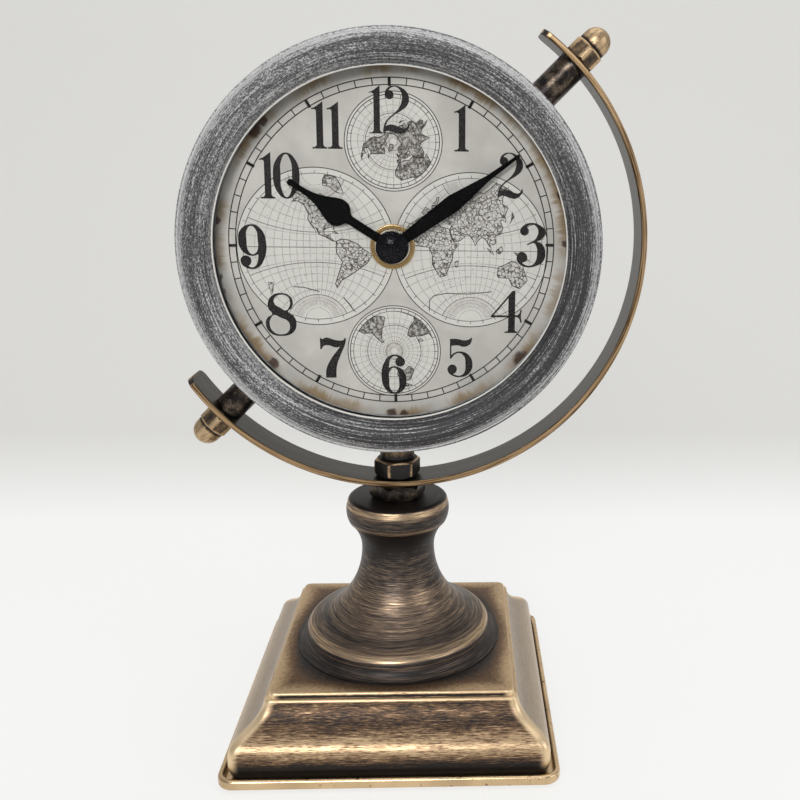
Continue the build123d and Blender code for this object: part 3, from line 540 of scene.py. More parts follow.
# aged paper of the dial: cream roundels, browned edge, and blots where damp got in
def paperFinish():
    agedPaper = {
        "pale": (0.342, 0.330, 0.304), "grey": (0.279, 0.269, 0.247), "brown": (0.15, 0.092, 0.030),
        "dark": (0.035, 0.017, 0.012), "map": (0.384, 0.379, 0.350),
        "blots": ((-46.8, 39.4, 3.4), (-43.8, 42.6, 2.4), (-43.2, -42.4, 2.6), (46.4, -40.6, 4.0), (-1.0, -61.0, 2.4),
                  (3.6, -61.2, 2.0), (-61.0, 8.5, 2.0), (-61.2, -11.5, 1.9), (-60.2, -16.5, 1.7), (59.0, 18.5, 1.8),
                  (61.0, 1.5, 1.6))}
    finish, sockets, place = newFinish("printedPaper", 0.0, 0.75, 0.15)
    turned = turnedRound(place)
    strokes = turned["Strokes"]
    grain = place.grain(3500.0)
    tone = blend(grain["Cloud"].fade(0.35, 0.7), agedPaper["grey"], agedPaper["pale"])
    flat = place.stretched((perMetre, 0, perMetre), shift=(0, 0, -perMetre * headHeight))

    def awayFrom(x, y):
        return newNode("VectorMath", {0: flat, 1: (x, 0, y)}, operation="DISTANCE")["Value"]

    inside = spots = 0.0
    for roundel in roundels:
        inside = reckon("LESS_THAN", awayFrom(*roundel["middle"]), roundel["radius"]).most(inside)
    tone = blend(inside * 0.8, tone, agedPaper["map"])
    streaks = strokes.stretched((18.0, 18.0, 0.0)).noise(1.0, 5.0, 0.75)
    clouds = strokes.stretched((3.0, 3.0, 0.0)).noise(1.0, 2.0)
    reach = (streaks - 0.5) * 10.0 + turned["Radius"]
    browned = reach.fade(57.6, 60.8) * clouds.fade(0.38, 0.60)
    tone = blend(browned * 0.8, tone, agedPaper["brown"])
    ragged = (place.noise(700.0, 3.0, 0.6) - 0.5) * 2.0
    for x, y, size in agedPaper["blots"]:
        spots = (1.0 - (ragged + awayFrom(x, y)).fade(size * 0.55, size)).most(spots)
    wear(sockets, blend(spots * 0.9, tone, agedPaper["dark"]))
    addBump(sockets, grain["Speckle"], 0.1, 0.05)
    return finish


# clear glass that throws no shadow
def glassFinish():
    finish, sockets, place = newFinish("clearGlass", 0.0, 0.0)
    for label, value in (("Base Color", (1, 1, 1, 1)), ("Transmission Weight", 1.0), ("IOR", 1.05)):
        sockets[label].default_value = value
    tree = finish.node_tree
    rays = readAll(tree, tree.nodes.new("ShaderNodeLightPath"))
    overlay(finish, rays["Is Shadow Ray"], tree.nodes.new("ShaderNodeBsdfTransparent"))
    return finish


# the shaft's brass nut: a pale painted reflection on the inner lip, then a dark ring and a golden bevel that lightens
# at its outer edge
def shaftNutFinish():
    finish, sockets, place = newFinish("shaftBrass", 1.0, 0.22)
    wear(sockets, turnedRound(place)["Radius"].fade(5.4, 7.9).ramp((
        (0.0, (0.80, 0.74, 0.62)), (0.17, (0.78, 0.71, 0.58)), (0.27, (0.15, 0.09, 0.035)),
        (0.45, (0.31, 0.205, 0.086)), (0.9, (0.26, 0.17, 0.068)), (0.985, (0.46, 0.36, 0.20)))))
    return finish


# plain parts that share the grain group: colour pair, speckle size, metal, roughness
plainParts = {
    "greyFelt": ((0.030, 0.030, 0.028), (0.075, 0.073, 0.068), 1800.0, 0.0, 0.95),
    "zincSteel": ((0.42, 0.42, 0.41), (0.62, 0.62, 0.60), 900.0, 1.0, 0.34),
    "blackCard": ((0.010, 0.010, 0.010), (0.022, 0.021, 0.020), 2200.0, 0.0, 0.8),
    "dialMetal": ((0.42, 0.42, 0.42), (0.58, 0.58, 0.57), 700.0, 1.0, 0.4),
    "coverBlack": ((0.014, 0.014, 0.015), (0.032, 0.032, 0.033), 2600.0, 0.0, 0.52),
    "movementPlastic": ((0.018, 0.018, 0.019), (0.040, 0.040, 0.042), 2400.0, 0.0, 0.45),
    "rubberBlack": ((0.012, 0.012, 0.012), (0.028, 0.028, 0.028), 2000.0, 0.0, 0.8),
    "plainBrass": ((0.24, 0.155, 0.068), (0.38, 0.26, 0.125), 700.0, 1.0, 0.2),
    "cellJacket": ((0.16, 0.16, 0.17), (0.24, 0.24, 0.25), 300.0, 0.6, 0.35),
    "contactNickel": ((0.52, 0.51, 0.48), (0.66, 0.65, 0.62), 900.0, 1.0, 0.3),
    "boardGreen": ((0.012, 0.085, 0.035), (0.022, 0.13, 0.055), 800.0, 0.0, 0.42),
    "copperWire": ((0.44, 0.17, 0.07), (0.66, 0.29, 0.13), 1600.0, 1.0, 0.35),
    "handBlack": ((0.0010, 0.0010, 0.0010), (0.0030, 0.0029, 0.0028), 2600.0, 0.0, 0.5),
    "capBlack": ((0.002, 0.002, 0.003), (0.004, 0.004, 0.005), 1500.0, 0.0, 0.12),
    "gearPlastic": ((0.62, 0.60, 0.53), (0.74, 0.72, 0.66), 1500.0, 0.0, 0.42),
}
# specular levels of those that shine less
dullParts = {"handBlack": 0.02, "blackCard": 0.02, "capBlack": 0.12}


def plainFinish(name, dark, light, size, metallic, rough):
    finish, sockets, place = newFinish(name, metallic, rough, dullParts.get(name, 0.5))
    grain = place.grain(size)
    mixed = grain["Speckle"] * 0.6 + grain["Cloud"] * 0.4
    wear(sockets, blend(mixed.fade(0.3, 0.7), dark, light), grain["Cloud"] * 0.12 + (rough - 0.06))
    if name != "capBlack":
        addBump(sockets, grain["Speckle"], 0.15, 0.06)
    return finish


# the dial's four maps: middle and radius on the dial in millimetres, the longitude or pole they face
roundels = (
    {"middle": (-26.7, -0.5), "radius": 27.6, "ring": 2.0, "facing": -110, "pole": 0,
     "lands": "northAmerica southAmerica northIsland cane farIsle"},
    {"middle": (27.6, -1.3), "radius": 27.3, "ring": 2.0, "facing": 70, "pole": 0,
     "lands": "africa eurasia southLand bigIsle westIsle eastIsles spiceIsle longIsle eastPapua"},
    {"middle": (0.6, 36.1), "radius": 16.8, "ring": 2.2, "facing": 0, "pole": 1,
     "lands": "northAmerica northIsland africa eurasia westIsle eastIsles cane"},
    {"middle": (0.2, -37.7), "radius": 16.6, "ring": 2.0, "facing": 0, "pole": -1,
     "lands": "southAmerica africa southLand bigIsle farIsle eastPapua"},
)
# painted shading across the bezel's roll, from lip to outer edge: light, a dark crown, light again, a thin dark line
# by the outer edge
bezelShadingStops = ((0.0, 0.60), (0.03, 0.50), (0.20, 0.40), (0.50, 0.33), (0.70, 0.36), (0.82, 0.50), (0.91, 0.70),
              (0.97, 0.92), (0.990, 0.85), (0.9945, 0.30), (0.9970, 0.75), (1.0, 0.6))
finishes = {name: plainFinish(name, *values) for name, values in plainParts.items()}
finishes.update({
    "stemBronze": stemFinish(), "shellBronze": shellFinish(), "rimBrass": rimFinish(), "shaftBrass": shaftNutFinish(),
    "armBronze": armFinish(), "blackBronze": blackBronzeFinish("blackBronze", 1.0),
    "jamNutBlack": blackBronzeFinish("jamNutBlack", 0.75),
    "bezelSilver": silverFinish("antiqueSilverBezel", bezelShadingStops, (60.8, 73.3)),
    "drumSilver": silverFinish("antiqueSilverDrum", ((0.0, 0.3), (1.0, 0.42)), (55.0, 70.0)),
    "printedPaper": paperFinish(), "clearGlass": glassFinish(),
})
finishNodes = {
    "greyFelt": "base_felt", "rimBrass": "base_tray", "shellBronze": "base_shell", "stemBronze": "stem",
    "zincSteel": "tie_rod base_washer base_nut back_cover_screws pivot_screws pivot_washers",
    "jamNutBlack": "arm_jam_nut", "armBronze": "meridian_arm", "bezelSilver": "bezel", "drumSilver": "case_drum",
    "clearGlass": "glass_lens", "blackCard": "dial_gap_ring", "printedPaper": "dial_paper", "dialMetal": "dial_plate",
    "coverBlack": "back_cover", "blackBronze": "upper_pivot_spacer lower_pivot_spacer",
    "movementPlastic": "movement_case movement_back", "rubberBlack": "movement_gasket",
    "plainBrass": "shaft_bushing minute_arbor", "shaftBrass": "shaft_nut", "cellJacket": "battery",
    "contactNickel": "battery_contacts", "boardGreen": "circuit_board", "copperWire": "drive_coil",
    "handBlack": "minute_hand hour_hand", "capBlack": "hand_cap", "gearPlastic": "hour_wheel minute_wheel set_knob",
}
for finishName, nodeNames in finishNodes.items():
    for nodeName in nodeNames.split():
        piece = nodes[nodeName]
        for slot in piece.material_slots:
            slot.material = finishes[finishName]
        if not piece.material_slots:
            piece.data.materials.append(finishes[finishName])
print("stage: finishes on the frame's nodes")


# inks of the printed dial
def inkFinish(name, dark, light, size):
    finish, sockets, place = newFinish(name, 0.0, 0.6, 0.08)
    grain = place.grain(size)
    wear(sockets, blend(grain["Speckle"].fade(0.35, 0.7), dark, light))
    return finish


# engraved land: a net of fine broken strokes, so the ground shows between them
def landFinish(name, cells, weight):
    finish, sockets, place = newFinish(name, 0.0, 0.7, 0.08)
    flat = place.stretched((1, 0, 1))
    wander = newNode("TexNoise", {"Vector": flat, "Scale": 420.0})["Color"]
    swirl = newNode("VectorMath", {0: wander, 1: (0.0016, 0, 0.0016), 2: flat}, operation="MULTIPLY_ADD")[0]
    net = newNode("TexVoronoi", {"Vector": swirl, "Scale": cells}, feature="DISTANCE_TO_EDGE")["Distance"]
    knots = place.noise(900.0, 3.0, 0.6).fade(0.36, 0.56) * 0.75 + 0.2
    ink = (1.0 - net.fade(weight * 0.35, weight)) * knots
    wear(sockets, blend(ink, (0.345, 0.337, 0.314), (0.035, 0.031, 0.028)))
    return finish


numeralInk = inkFinish("numeralInk", (0.008, 0.007, 0.007), (0.022, 0.019, 0.018), 1500.0)
trackInk = inkFinish("trackInk", (0.010, 0.008, 0.007), (0.035, 0.030, 0.026), 1800.0)
mapInk = inkFinish("mapInk", (0.035, 0.030, 0.026), (0.12, 0.108, 0.095), 900.0)
gridInk = inkFinish("gridInk", (0.17, 0.155, 0.135), (0.33, 0.31, 0.28), 900.0)
landInk = landFinish("landInk", 760.0, 0.17)
darkLandInk = landFinish("darkLandInk", 1100.0, 0.46)


# turns flat curves drawn on the dial into one thin printed mesh, its face at the given height over the paper
def printCurves(curves, name, finish, over):
    clearSelection()
    for curve in curves:
        curve.select_set(True)
    bpy.context.view_layer.objects.active = curves[0]
    bpy.ops.object.convert(target="MESH")
    if len(curves) > 1:
        bpy.ops.object.join()
    piece = bpy.context.active_object
    piece.rotation_euler = (pi / 2, 0, 0)
    piece.location = (0, dialFace - over, headHeight)
    freeze(piece, name, finish)
    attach(piece, "clock_head")


def newCurve(name):
    data = bpy.data.curves.new(name, "CURVE")
    return addObject(name, data, dimensions="2D", fill_mode="BOTH", extrude=0.00001, resolution_u=6)


def drawOutline(curve, outline, scale, shift, turned=False):
    spline = curve.data.splines.new("BEZIER")
    spline.bezier_points.add(len(outline) - 1)
    spline.use_cyclic_u = True
    for point, (x, y, *corner) in zip(spline.bezier_points, outline):
        px, py = (-x, 1 - y) if turned else (x, y)
        point.co = (shift[0] + px * scale, shift[1] + py * scale, 0)
        point.handle_left_type = point.handle_right_type = "VECTOR" if corner else "AUTO"


# numeral outlines in units of their height; a third number marks a corner
one = [[(.23, 1, 1), (.13, .925), (.05, .875), (-.01, .855, 1), (-.005, .842, 1), (.05, .848), (.095, .82, 1),
        (.095, .07, 1), (.06, .03), (0, .02, 1), (0, 0, 1), (.31, 0, 1), (.31, .02, 1), (.265, .03), (.23, .07, 1)]]
two = [[(.05, .85), (.124, .964), (.253, 1), (.39, .964), (.51, .876), (.562, .747), (.534, .61), (.42, .498),
        (.285, .415), (.173, .33), (.10, .25), (.062, .165, 1), (.157, .193), (.27, .177), (.398, .125), (.494, .128),
        (.553, .225, 1), (.572, .18), (.51, .064), (.406, 0), (.293, .012), (.18, .05), (.084, .056), (.02, .01, 1),
        (.004, .03, 1), (.02, .16), (.06, .255), (.14, .345), (.24, .43), (.33, .52), (.395, .65), (.41, .80),
        (.357, .92), (.26, .975), (.17, .945), (.13, .905, 1), (.19, .89), (.235, .815), (.20, .735), (.13, .715),
        (.06, .765)]]
three = [[(.079, .84), (.15, .94), (.32, 1), (.52, .945), (.646, .81), (.58, .66), (.44, .585, 1), (.56, .535),
          (.65, .34), (.59, .12), (.43, .03), (.28, 0), (.12, .04), (.02, .14), (.012, .24), (.07, .33), (.16, .33),
          (.235, .25), (.22, .16), (.15, .112), (.105, .11, 1), (.19, .05), (.31, .028), (.42, .10), (.474, .32),
          (.45, .48), (.39, .555), (.34, .55), (.245, .505, 1), (.24, .52, 1), (.33, .572), (.40, .61), (.47, .71),
          (.49, .82), (.43, .94), (.32, .972), (.21, .922, 1), (.262, .83), (.22, .74), (.15, .728), (.085, .78)]]
four = [[(.56, 1, 1), (.56, .415, 1), (.63, .42), (.68, .47), (.70, .55, 1), (.72, .55, 1), (.70, .40), (.72, .25, 1),
         (.70, .25, 1), (.67, .34), (.62, .378), (.56, .38, 1), (.56, .06, 1), (.585, .025), (.62, .02, 1),
         (.62, 0, 1), (.33, 0, 1), (.33, .02, 1), (.385, .025), (.413, .06, 1), (.413, .375, 1), (0, .375, 1),
         (0, .395, 1), (.50, .995, 1)],
        [(.413, .85, 1), (.413, .41, 1), (.05, .41, 1)]]
five = [[(.068, .965, 1), (.23, .965), (.42, .93), (.54, .955), (.595, 1, 1), (.608, .985, 1), (.56, .85), (.42, .78),
         (.25, .815), (.089, .80, 1), (.089, .535, 1), (.16, .605), (.30, .645), (.50, .58), (.62, .33), (.53, .09),
         (.33, 0), (.12, .04), (.01, .16), (.035, .265), (.12, .308), (.21, .26), (.22, .16), (.16, .09),
         (.11, .085, 1), (.21, .035), (.33, .028), (.43, .12), (.455, .33), (.42, .53), (.30, .618), (.17, .575),
         (.088, .475, 1), (.068, .475, 1)]]
six = [[(.33, 1), (.47, .965), (.572, .86), (.56, .75), (.47, .705), (.375, .745), (.352, .83), (.39, .91),
        (.43, .935, 1), (.33, .975), (.235, .92), (.185, .78), (.176, .655, 1), (.235, .685), (.33, .70), (.47, .65),
        (.58, .52), (.615, .36), (.56, .13), (.33, 0), (.12, .09), (0, .45), (.09, .84), (.2, .965)],
       [(.33, .672), (.415, .58), (.44, .36), (.42, .11), (.33, .025), (.22, .10), (.178, .35), (.185, .56),
        (.24, .65)]]
seven = [[(.01, .985, 1), (.03, .985, 1), (.05, .965), (.16, 1), (.34, .95), (.50, .925), (.58, .945), (.612, .99, 1),
          (.635, .985, 1), (.61, .85), (.50, .58), (.40, .30), (.38, 0, 1), (.14, 0, 1), (.15, .20), (.28, .48),
          (.45, .71), (.548, .848, 1), (.48, .785), (.38, .77), (.21, .82), (.09, .80), (.035, .72, 1),
          (.015, .72, 1)]]
eight = [[(.36, 1), (.555, .94), (.625, .79), (.59, .66), (.51, .57), (.64, .46), (.696, .30), (.62, .09), (.35, 0),
          (.09, .08), (0, .28), (.04, .42), (.155, .515), (.08, .63), (.063, .77), (.16, .94)],
         [(.36, .975), (.53, .92), (.577, .79), (.545, .67), (.47, .595), (.33, .66), (.20, .76), (.21, .90)],
         [(.185, .495), (.35, .43), (.50, .36), (.555, .25), (.52, .10), (.36, .025), (.16, .09), (.076, .28),
          (.11, .42)]]
nought = [[(.2875, 1), (.48, .87), (.575, .5), (.48, .13), (.2875, 0), (.095, .13), (0, .5), (.095, .87)],
          [(.2875, .975), (.385, .86), (.42, .5), (.385, .14), (.2875, .025), (.19, .14), (.155, .5), (.19, .86)]]
shapes = dict(zip("012345678", (nought, one, two, three, four, five, six, seven, eight)))
# where each hour's figures stand: middle and height in millimetres, then the second figure's left edge
hourFigures = {
    12: (-0.73, 46.75, 16.0, .29), 1: (24.05, 40.9, 15.4), 2: (41.2, 25.1, 15.8), 3: (49.0, 0.95, 15.6),
    4: (40.5, -23.05, 15.2), 5: (23.95, -39.9, 14.5), 6: (0.0, -46.25, 14.4), 7: (-21.7, -40.2, 14.6),
    8: (-39.9, -24.55, 15.3), 9: (-48.9, -0.5, 15.5), 10: (-38.6, 24.1, 15.5, .285), 11: (-22.0, 41.25, 15.5, .34),
}
figureCurves = []
for hour, (middleX, middleY, height, *second) in hourFigures.items():
    turned = hour == 9
    figures = [(shapes["6" if turned else digit], left) for digit, left in zip(str(hour), (0.0, *second))]
    spans = [x + left for figure, left in figures for x, *rest in figure[0]]
    wide = max(spans) - min(spans)
    tall = height * mm
    for figure, left in figures:
        curve = newCurve("hourFigure")
        curve.data.offset = 0.0 if hour in (2, 12) else 0.00011
        startX = wide / 2 if turned else left - wide / 2 - min(spans)
        shift = (middleX * mm + startX * tall, (middleY - height / 2) * mm)
        for outline in figure:
            drawOutline(curve, outline, tall, shift, turned)
        figureCurves.append(curve)
printCurves(figureCurves, "dialNumerals", numeralInk, 0.00006)
print("stage: numerals printed")


# thin printed lines: each is a row of points in dial millimetres, drawn as a flattened wire
def printLines(rows, name, finish, width, over):
    data = bpy.data.curves.new(name, "CURVE")
    wire = addObject(name, data, dimensions="3D", bevel_depth=width / 2 * mm, bevel_resolution=0, use_fill_caps=True)
    for row, closed in rows:
        spline = data.splines.new("POLY")
        spline.points.add(len(row) - 1)
        spline.use_cyclic_u = closed
        for point, (x, y) in zip(spline.points, row):
            point.co = (x * mm, y * mm, 0, 1)
    wire.scale = (1, 1, 0.2)
    printCurves([wire], name, finish, over)


# rows of points for those lines, each with whether it closes
def ringRow(middle, radius, count):
    turns = [2 * pi * step / count for step in range(count)]
    return [(middle[0] + radius * sin(t), middle[1] + radius * cos(t)) for t in turns], True


def spokeRow(middle, inner, outer, degrees):
    turn = radians(degrees)
    return [(middle[0] + r * sin(turn), middle[1] + r * cos(turn)) for r in (inner, outer)], False


def dotRow(x, y):
    return [(x - 0.08, y), (x + 0.08, y)], False


minuteTrack = {"middle": (0, 0.45), "outer": 57.0, "inner": 54.6, "line": 0.36, "bold": 1.05, "turn": -0.6}
middle, inner, outer, turn = (minuteTrack[label] for label in ("middle", "inner", "outer", "turn"))
rows = [ringRow(middle, outer, 240), ringRow(middle, inner, 240)]
rows += [spokeRow(middle, inner, outer, 6 * step + turn) for step in range(60) if step % 5]
printLines(rows, "dialMinuteTrack", trackInk, minuteTrack["line"], 0.00004)
rows = [spokeRow(middle, inner - 0.5, outer + 0.1, 30 * step + turn) for step in range(12)]
printLines(rows, "dialHourTicks", numeralInk, minuteTrack["bold"], 0.00005)

# hemisphere maps: coasts as longitude and latitude, drawn simply
coasts = {
    "northAmerica": [
        (-168, 66), (-156, 71), (-128, 70), (-110, 68), (-95, 72), (-82, 68), (-94, 60), (-85, 55), (-79, 52),
        (-78, 62), (-66, 58), (-56, 52), (-65, 47), (-70, 43), (-75, 36), (-81, 31), (-81, 25), (-84, 30), (-92, 29),
        (-97, 26), (-97, 20), (-91, 18), (-87, 21), (-88, 15), (-83, 10), (-79, 8), (-85, 10), (-95, 16), (-105, 20),
        (-110, 30), (-114, 31), (-109, 23), (-117, 33), (-124, 41), (-124, 49), (-135, 58), (-150, 60), (-162, 56),
        (-158, 59), (-165, 62)],
    "southAmerica": [
        (-79, 9), (-72, 12), (-62, 10), (-52, 5), (-44, -2), (-35, -7), (-39, -16), (-48, -26), (-57, -36), (-65, -43),
        (-68, -54), (-74, -50), (-73, -38), (-70, -20), (-79, -8), (-80, 0)],
    "northIsland": [(-73, 78), (-55, 82), (-25, 82), (-20, 74), (-32, 68), (-43, 60), (-52, 66), (-56, 74)],
    "africa": [
        (-6, 35), (10, 37), (20, 31), (33, 31), (38, 20), (44, 11), (51, 11), (42, -2), (40, -14), (35, -22),
        (27, -34), (18, -34), (12, -17), (13, -5), (9, 4), (-8, 5), (-17, 14), (-16, 22), (-10, 30)],
    "eurasia": [
        (-9, 37), (-9, 43), (-1, 44), (-4, 48), (2, 51), (8, 54), (10, 57), (12, 54), (20, 55), (23, 59), (28, 60),
        (22, 61), (23, 65), (17, 61), (16, 56), (11, 58), (5, 60), (12, 66), (20, 70), (30, 70), (40, 67), (45, 68),
        (60, 69), (70, 72), (85, 74), (104, 77), (115, 73), (140, 72), (160, 70), (180, 68), (190, 66), (178, 62),
        (163, 59), (156, 52), (155, 60), (142, 58), (136, 54), (140, 48), (130, 42), (128, 35), (125, 39), (121, 39),
        (122, 30), (117, 23), (108, 21), (109, 12), (105, 9), (100, 13), (103, 2), (98, 9), (94, 17), (88, 22),
        (80, 15), (77, 8), (73, 18), (67, 25), (57, 26), (50, 30), (56, 24), (60, 22), (52, 16), (43, 13), (35, 28),
        (35, 33), (36, 36), (27, 37), (28, 41), (40, 41), (38, 46), (32, 46), (28, 43), (24, 40), (22, 37), (19, 42),
        (13, 45), (18, 40), (15, 38), (10, 44), (4, 43), (0, 39), (-5, 36)],
    "southLand": [
        (114, -22), (122, -18), (130, -12), (136, -12), (141, -17), (142, -11), (146, -19), (153, -27), (150, -37),
        (140, -38), (132, -32), (118, -35), (115, -33)],
    "bigIsle": [(44, -17), (50, -15), (47, -25), (44, -24)],
    "westIsle": [(-5, 50), (1, 52), (-2, 56), (-4, 58), (-6, 56), (-3, 53)],
    "eastIsles": [(131, 32), (136, 35), (141, 37), (142, 43), (140, 40), (135, 34)],
    "spiceIsle": [(109, 1), (117, 7), (118, 1), (114, -4), (110, -2)],
    "longIsle": [(95, 5), (103, 0), (106, -6), (100, -1)],
    "eastPapua": [(132, -1), (141, -3), (150, -9), (143, -9), (136, -5)],
    "farIsle": [(173, -35), (178, -38), (172, -44), (167, -46)],
    "cane": [(-84, 22), (-77, 20), (-75, 20), (-80, 23)],
}


# stereographic places: equator view for the big roundels, pole view for the small ones
def mapPoint(roundel, lon, lat):
    reach = roundel["radius"] - roundel["ring"]
    if roundel["pole"]:
        side = roundel["pole"]
        away = tan(radians(90 - max(side * lat, 0.0)) / 2) * reach
        turn = radians(lon + 20)
        return roundel["middle"][0] + away * sin(turn), roundel["middle"][1] - side * away * cos(turn)
    swing = radians(max(-90.0, min(90.0, lon - roundel["facing"])))
    up = radians(lat)
    scale = reach / (1 + cos(up) * cos(swing))
    return roundel["middle"][0] + scale * cos(up) * sin(swing), roundel["middle"][1] + scale * sin(up)


# a circle of latitude, whole in a pole view and from rim to rim in an equator view
def parallel(roundel, lat):
    if roundel["pole"]:
        return [mapPoint(roundel, lon, lat) for lon in range(0, 360, 6)], True
    return [mapPoint(roundel, roundel["facing"] + swing, lat) for swing in range(-90, 91, 6)], False


def meridian(roundel, lon, lats):
    return [mapPoint(roundel, lon, lat) for lat in lats], False


faintRows, fineRows, boldRows, landCurves, polarLands = [], [], [], [], []
for roundel in roundels:
    middle, radius, ring, facing, side = (roundel[key] for key in ("middle", "radius", "ring", "facing", "pole"))
    inner = radius - ring
    boldRows.append(ringRow(middle, radius, 160))
    if side:
        band = radius - ring * 0.42
        boldRows.append(ringRow(middle, band, 160))
        fineRows.append(ringRow(middle, inner, 128))
        fineRows += [spokeRow(middle, inner, band, 10 * step) for step in range(36)]
        faintRows += [parallel(roundel, side * lat) for lat in range(10, 90, 10)]
        faintRows += [meridian(roundel, lon, (0, side * 80)) for lon in range(0, 360, 10)]
        fineRows += [parallel(roundel, side * lat) for lat in (23.5, 66.5)]
    else:
        fineRows.append(ringRow(middle, inner, 160))
        fineRows += [spokeRow(middle, inner - 0.05, radius - ring * 0.5, 10 * step) for step in range(36)]
        faintRows += [parallel(roundel, lat) for lat in range(-80, 81, 10)]
        faintRows += [meridian(roundel, facing + swing, range(-78, 79, 6)) for swing in range(-80, 81, 10)]
        fineRows += [parallel(roundel, lat) for lat in (-66.5, -23.5, 0, 23.5, 66.5)]
        for swing in range(-85, 86, 5):
            faintRows += [meridian(roundel, facing + swing, (end * 67, end * 77)) for end in (-1, 1)]
            boldRows += [dotRow(*mapPoint(roundel, facing + swing, lat)) for lat in (-61, -73)]
        boldRows += [dotRow(*mapPoint(roundel, facing - 80 + step * 61.8 % 160, -48 + step * 37.7 % 100))
                     for step in range(44)]
    for landName in roundel["lands"].split():
        row = [mapPoint(roundel, lon - 360 if lon - facing > 180 and not side else lon, lat)
               for lon, lat in coasts[landName]]
        boldRows.append((row, True))
        land = newCurve("mapLand")
        drawOutline(land, [(x, y, 1) for x, y in row], mm, (0, 0))
        (polarLands if side else landCurves).append(land)
# far southern shores and ships' tracks, in dial millimetres
boldRows += [([(12.8, -22.9), (13.0, -18.9), (14.6, -17.3), (18.9, -16.5), (26.5, -16.7), (35.3, -15.8)], False),
             ([(-35.0, -14.5), (-31.5, -14.7), (-26.0, -16.2)], False),
             ([(-17.6, -18.2), (-15.4, -20.9), (-14.0, -23.1)], False)]
boldRows += [dotRow(11.5 + step * 0.95, -9.3 - 3.9 * sin(pi * step / 18)) for step in range(19)]
printCurves(landCurves, "dialMapLand", landInk, 0.00002)
printCurves(polarLands, "dialPolarLand", darkLandInk, 0.00002)
printLines(faintRows, "dialMapGrid", gridInk, 0.13, 0.000025)
printLines(fineRows, "dialMapLines", mapInk, 0.2, 0.00003)
printLines(boldRows, "dialMapCoasts", trackInk, 0.27, 0.000035)
print("stage: maps printed")


# a round hole bored through a piece along a way
def drillHole(piece, radius, spot, way):
    drill = newRod(32, radius * mm, 10 * mm, spot, way.to_track_quat("Z", "Y").to_euler())
    takeUp(piece)
    carve(piece, "DIFFERENCE", drill)


# domed nuts and the jam nut: a six-sided bar turned to a chamfer, edges eased, a dome with a grooved foot, bored
def shapeNut(name, nut):
    flats, tall = nut["flats"] * mm, nut["hex"] * mm
    corner, slope, over = flats / sqrt(3), tan(radians(35)), 0.4 * mm
    bar = newRod(6, corner, tall, (0, 0, tall / 2), (0, 0, pi / 6))
    bpy.ops.object.transform_apply(location=True, rotation=True)
    crown, reach = flats / 2 - nut["crown"] * mm, corner + 0.2 * mm
    rise = (reach - crown) * slope
    ends = spinProfile([(0, 0, -over), (crown - over / slope, 0, -over), (reach, 0, rise), (reach, 0, tall - rise),
                        (crown - over / slope, 0, tall + over), (0, 0, tall + over)], (0, 0, 0), (0, 0, 1), 96)
    cutters = [("INTERSECT", ends)]
    if nut["dome"]:
        ball, neck, spring = nut["dome"] * mm, (nut["dome"] - nut["groove"]) * mm, tall + nut["straight"] * mm
        dome = [(0, 0, tall - mm), (neck, 0, tall - mm), (neck, 0, tall + 0.12 * mm)]
        foot = ((neck, tall + 0.2 * mm), (ball - 0.35 * nut["groove"] * mm, tall + 0.36 * mm), (ball, tall + 0.8 * mm))
        dome += [(x, 0, z) for x, z in arcThrough(*foot, 5)]
        dome += [(ball * cos(pi / 36 * step), 0, spring + ball * sin(pi / 36 * step)) for step in range(18)]
        dome.append((0, 0, spring + ball))
        cutters.append(("UNION", spinProfile(dome, (0, 0, 0), (0, 0, 1), 72)))
    cutters.append(("DIFFERENCE", newRod(32, nut["bore"] * mm, 2 * nut["deep"] * mm)))
    takeUp(bar)
    for operation, cutter in cutters:
        carve(bar, operation, cutter)
        if operation == "INTERSECT":
            easeEdges(bar, nut["ease"], 2, 24)
    closeMesh(bar, 28)
    bar.matrix_world = nutFrame(nut)
    freeze(bar, name, nut["finish"] or nutFinish(name + "Brass", nut))
    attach(bar, nut["body"])
    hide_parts(nut["node"])


upperWay = Vector((sqrt(0.5), 0, sqrt(0.5)))
upright = Vector((0, 0, 1))
pivotSeat = upperWay * 92.1 * mm
pivotNut = {"flats": 11.4, "hex": 6.3, "dome": 5.29, "straight": 2.6, "groove": 0.45, "crown": 0.25, "ease": 0.16,
            "bore": 3.05, "deep": 9.05, "side": Vector((0, 1, 0)), "body": "clock_head", "slot": "nut_brass",
            "finish": None, "flat": 0.36, "rub": 0.9, "bare": 0.80, "edge": 0.51, "shade": 1.6}
standNut = {"axis": upright, "ease": 0.2, "bore": 4.05, "body": "stand"}
nuts = {
    "upperDomedNut": {**pivotNut, "node": "upper_pivot_cap_nut", "seat": headMiddle + pivotSeat, "axis": upperWay},
    "lowerDomedNut": {**pivotNut, "node": "lower_pivot_cap_nut", "seat": headMiddle - pivotSeat, "axis": -upperWay},
    "armDomedNut": {
        **standNut, "node": "arm_cap_nut", "seat": Vector((0, 0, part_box("arm_cap_nut")[0].z)),
        "side": Vector((cos(radians(12)), sin(radians(12)), 0)), "flats": 15.5, "hex": 6.8, "dome": 6.6,
        "straight": 0.9, "groove": 0.8, "crown": 0.3, "deep": 9.05, "slot": "nut_brass", "finish": None,
        "flat": -0.05, "rub": 0.80, "bare": 0.62, "edge": 0.535, "shade": 4.2},
    "armJamNut": {
        **standNut, "node": "arm_jam_nut", "seat": Vector((0, 0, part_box("arm_jam_nut")[0].z)),
        "side": Vector((cos(radians(15)), sin(radians(15)), 0)), "flats": 19.0, "hex": 5.9, "dome": 0.0, "crown": 0.2,
        "deep": 12.0, "slot": "black_bronze", "finish": finishes["jamNutBlack"]},
}
for nutName, nut in nuts.items():
    shapeNut(nutName, nut)
print("stage: nuts shaped")

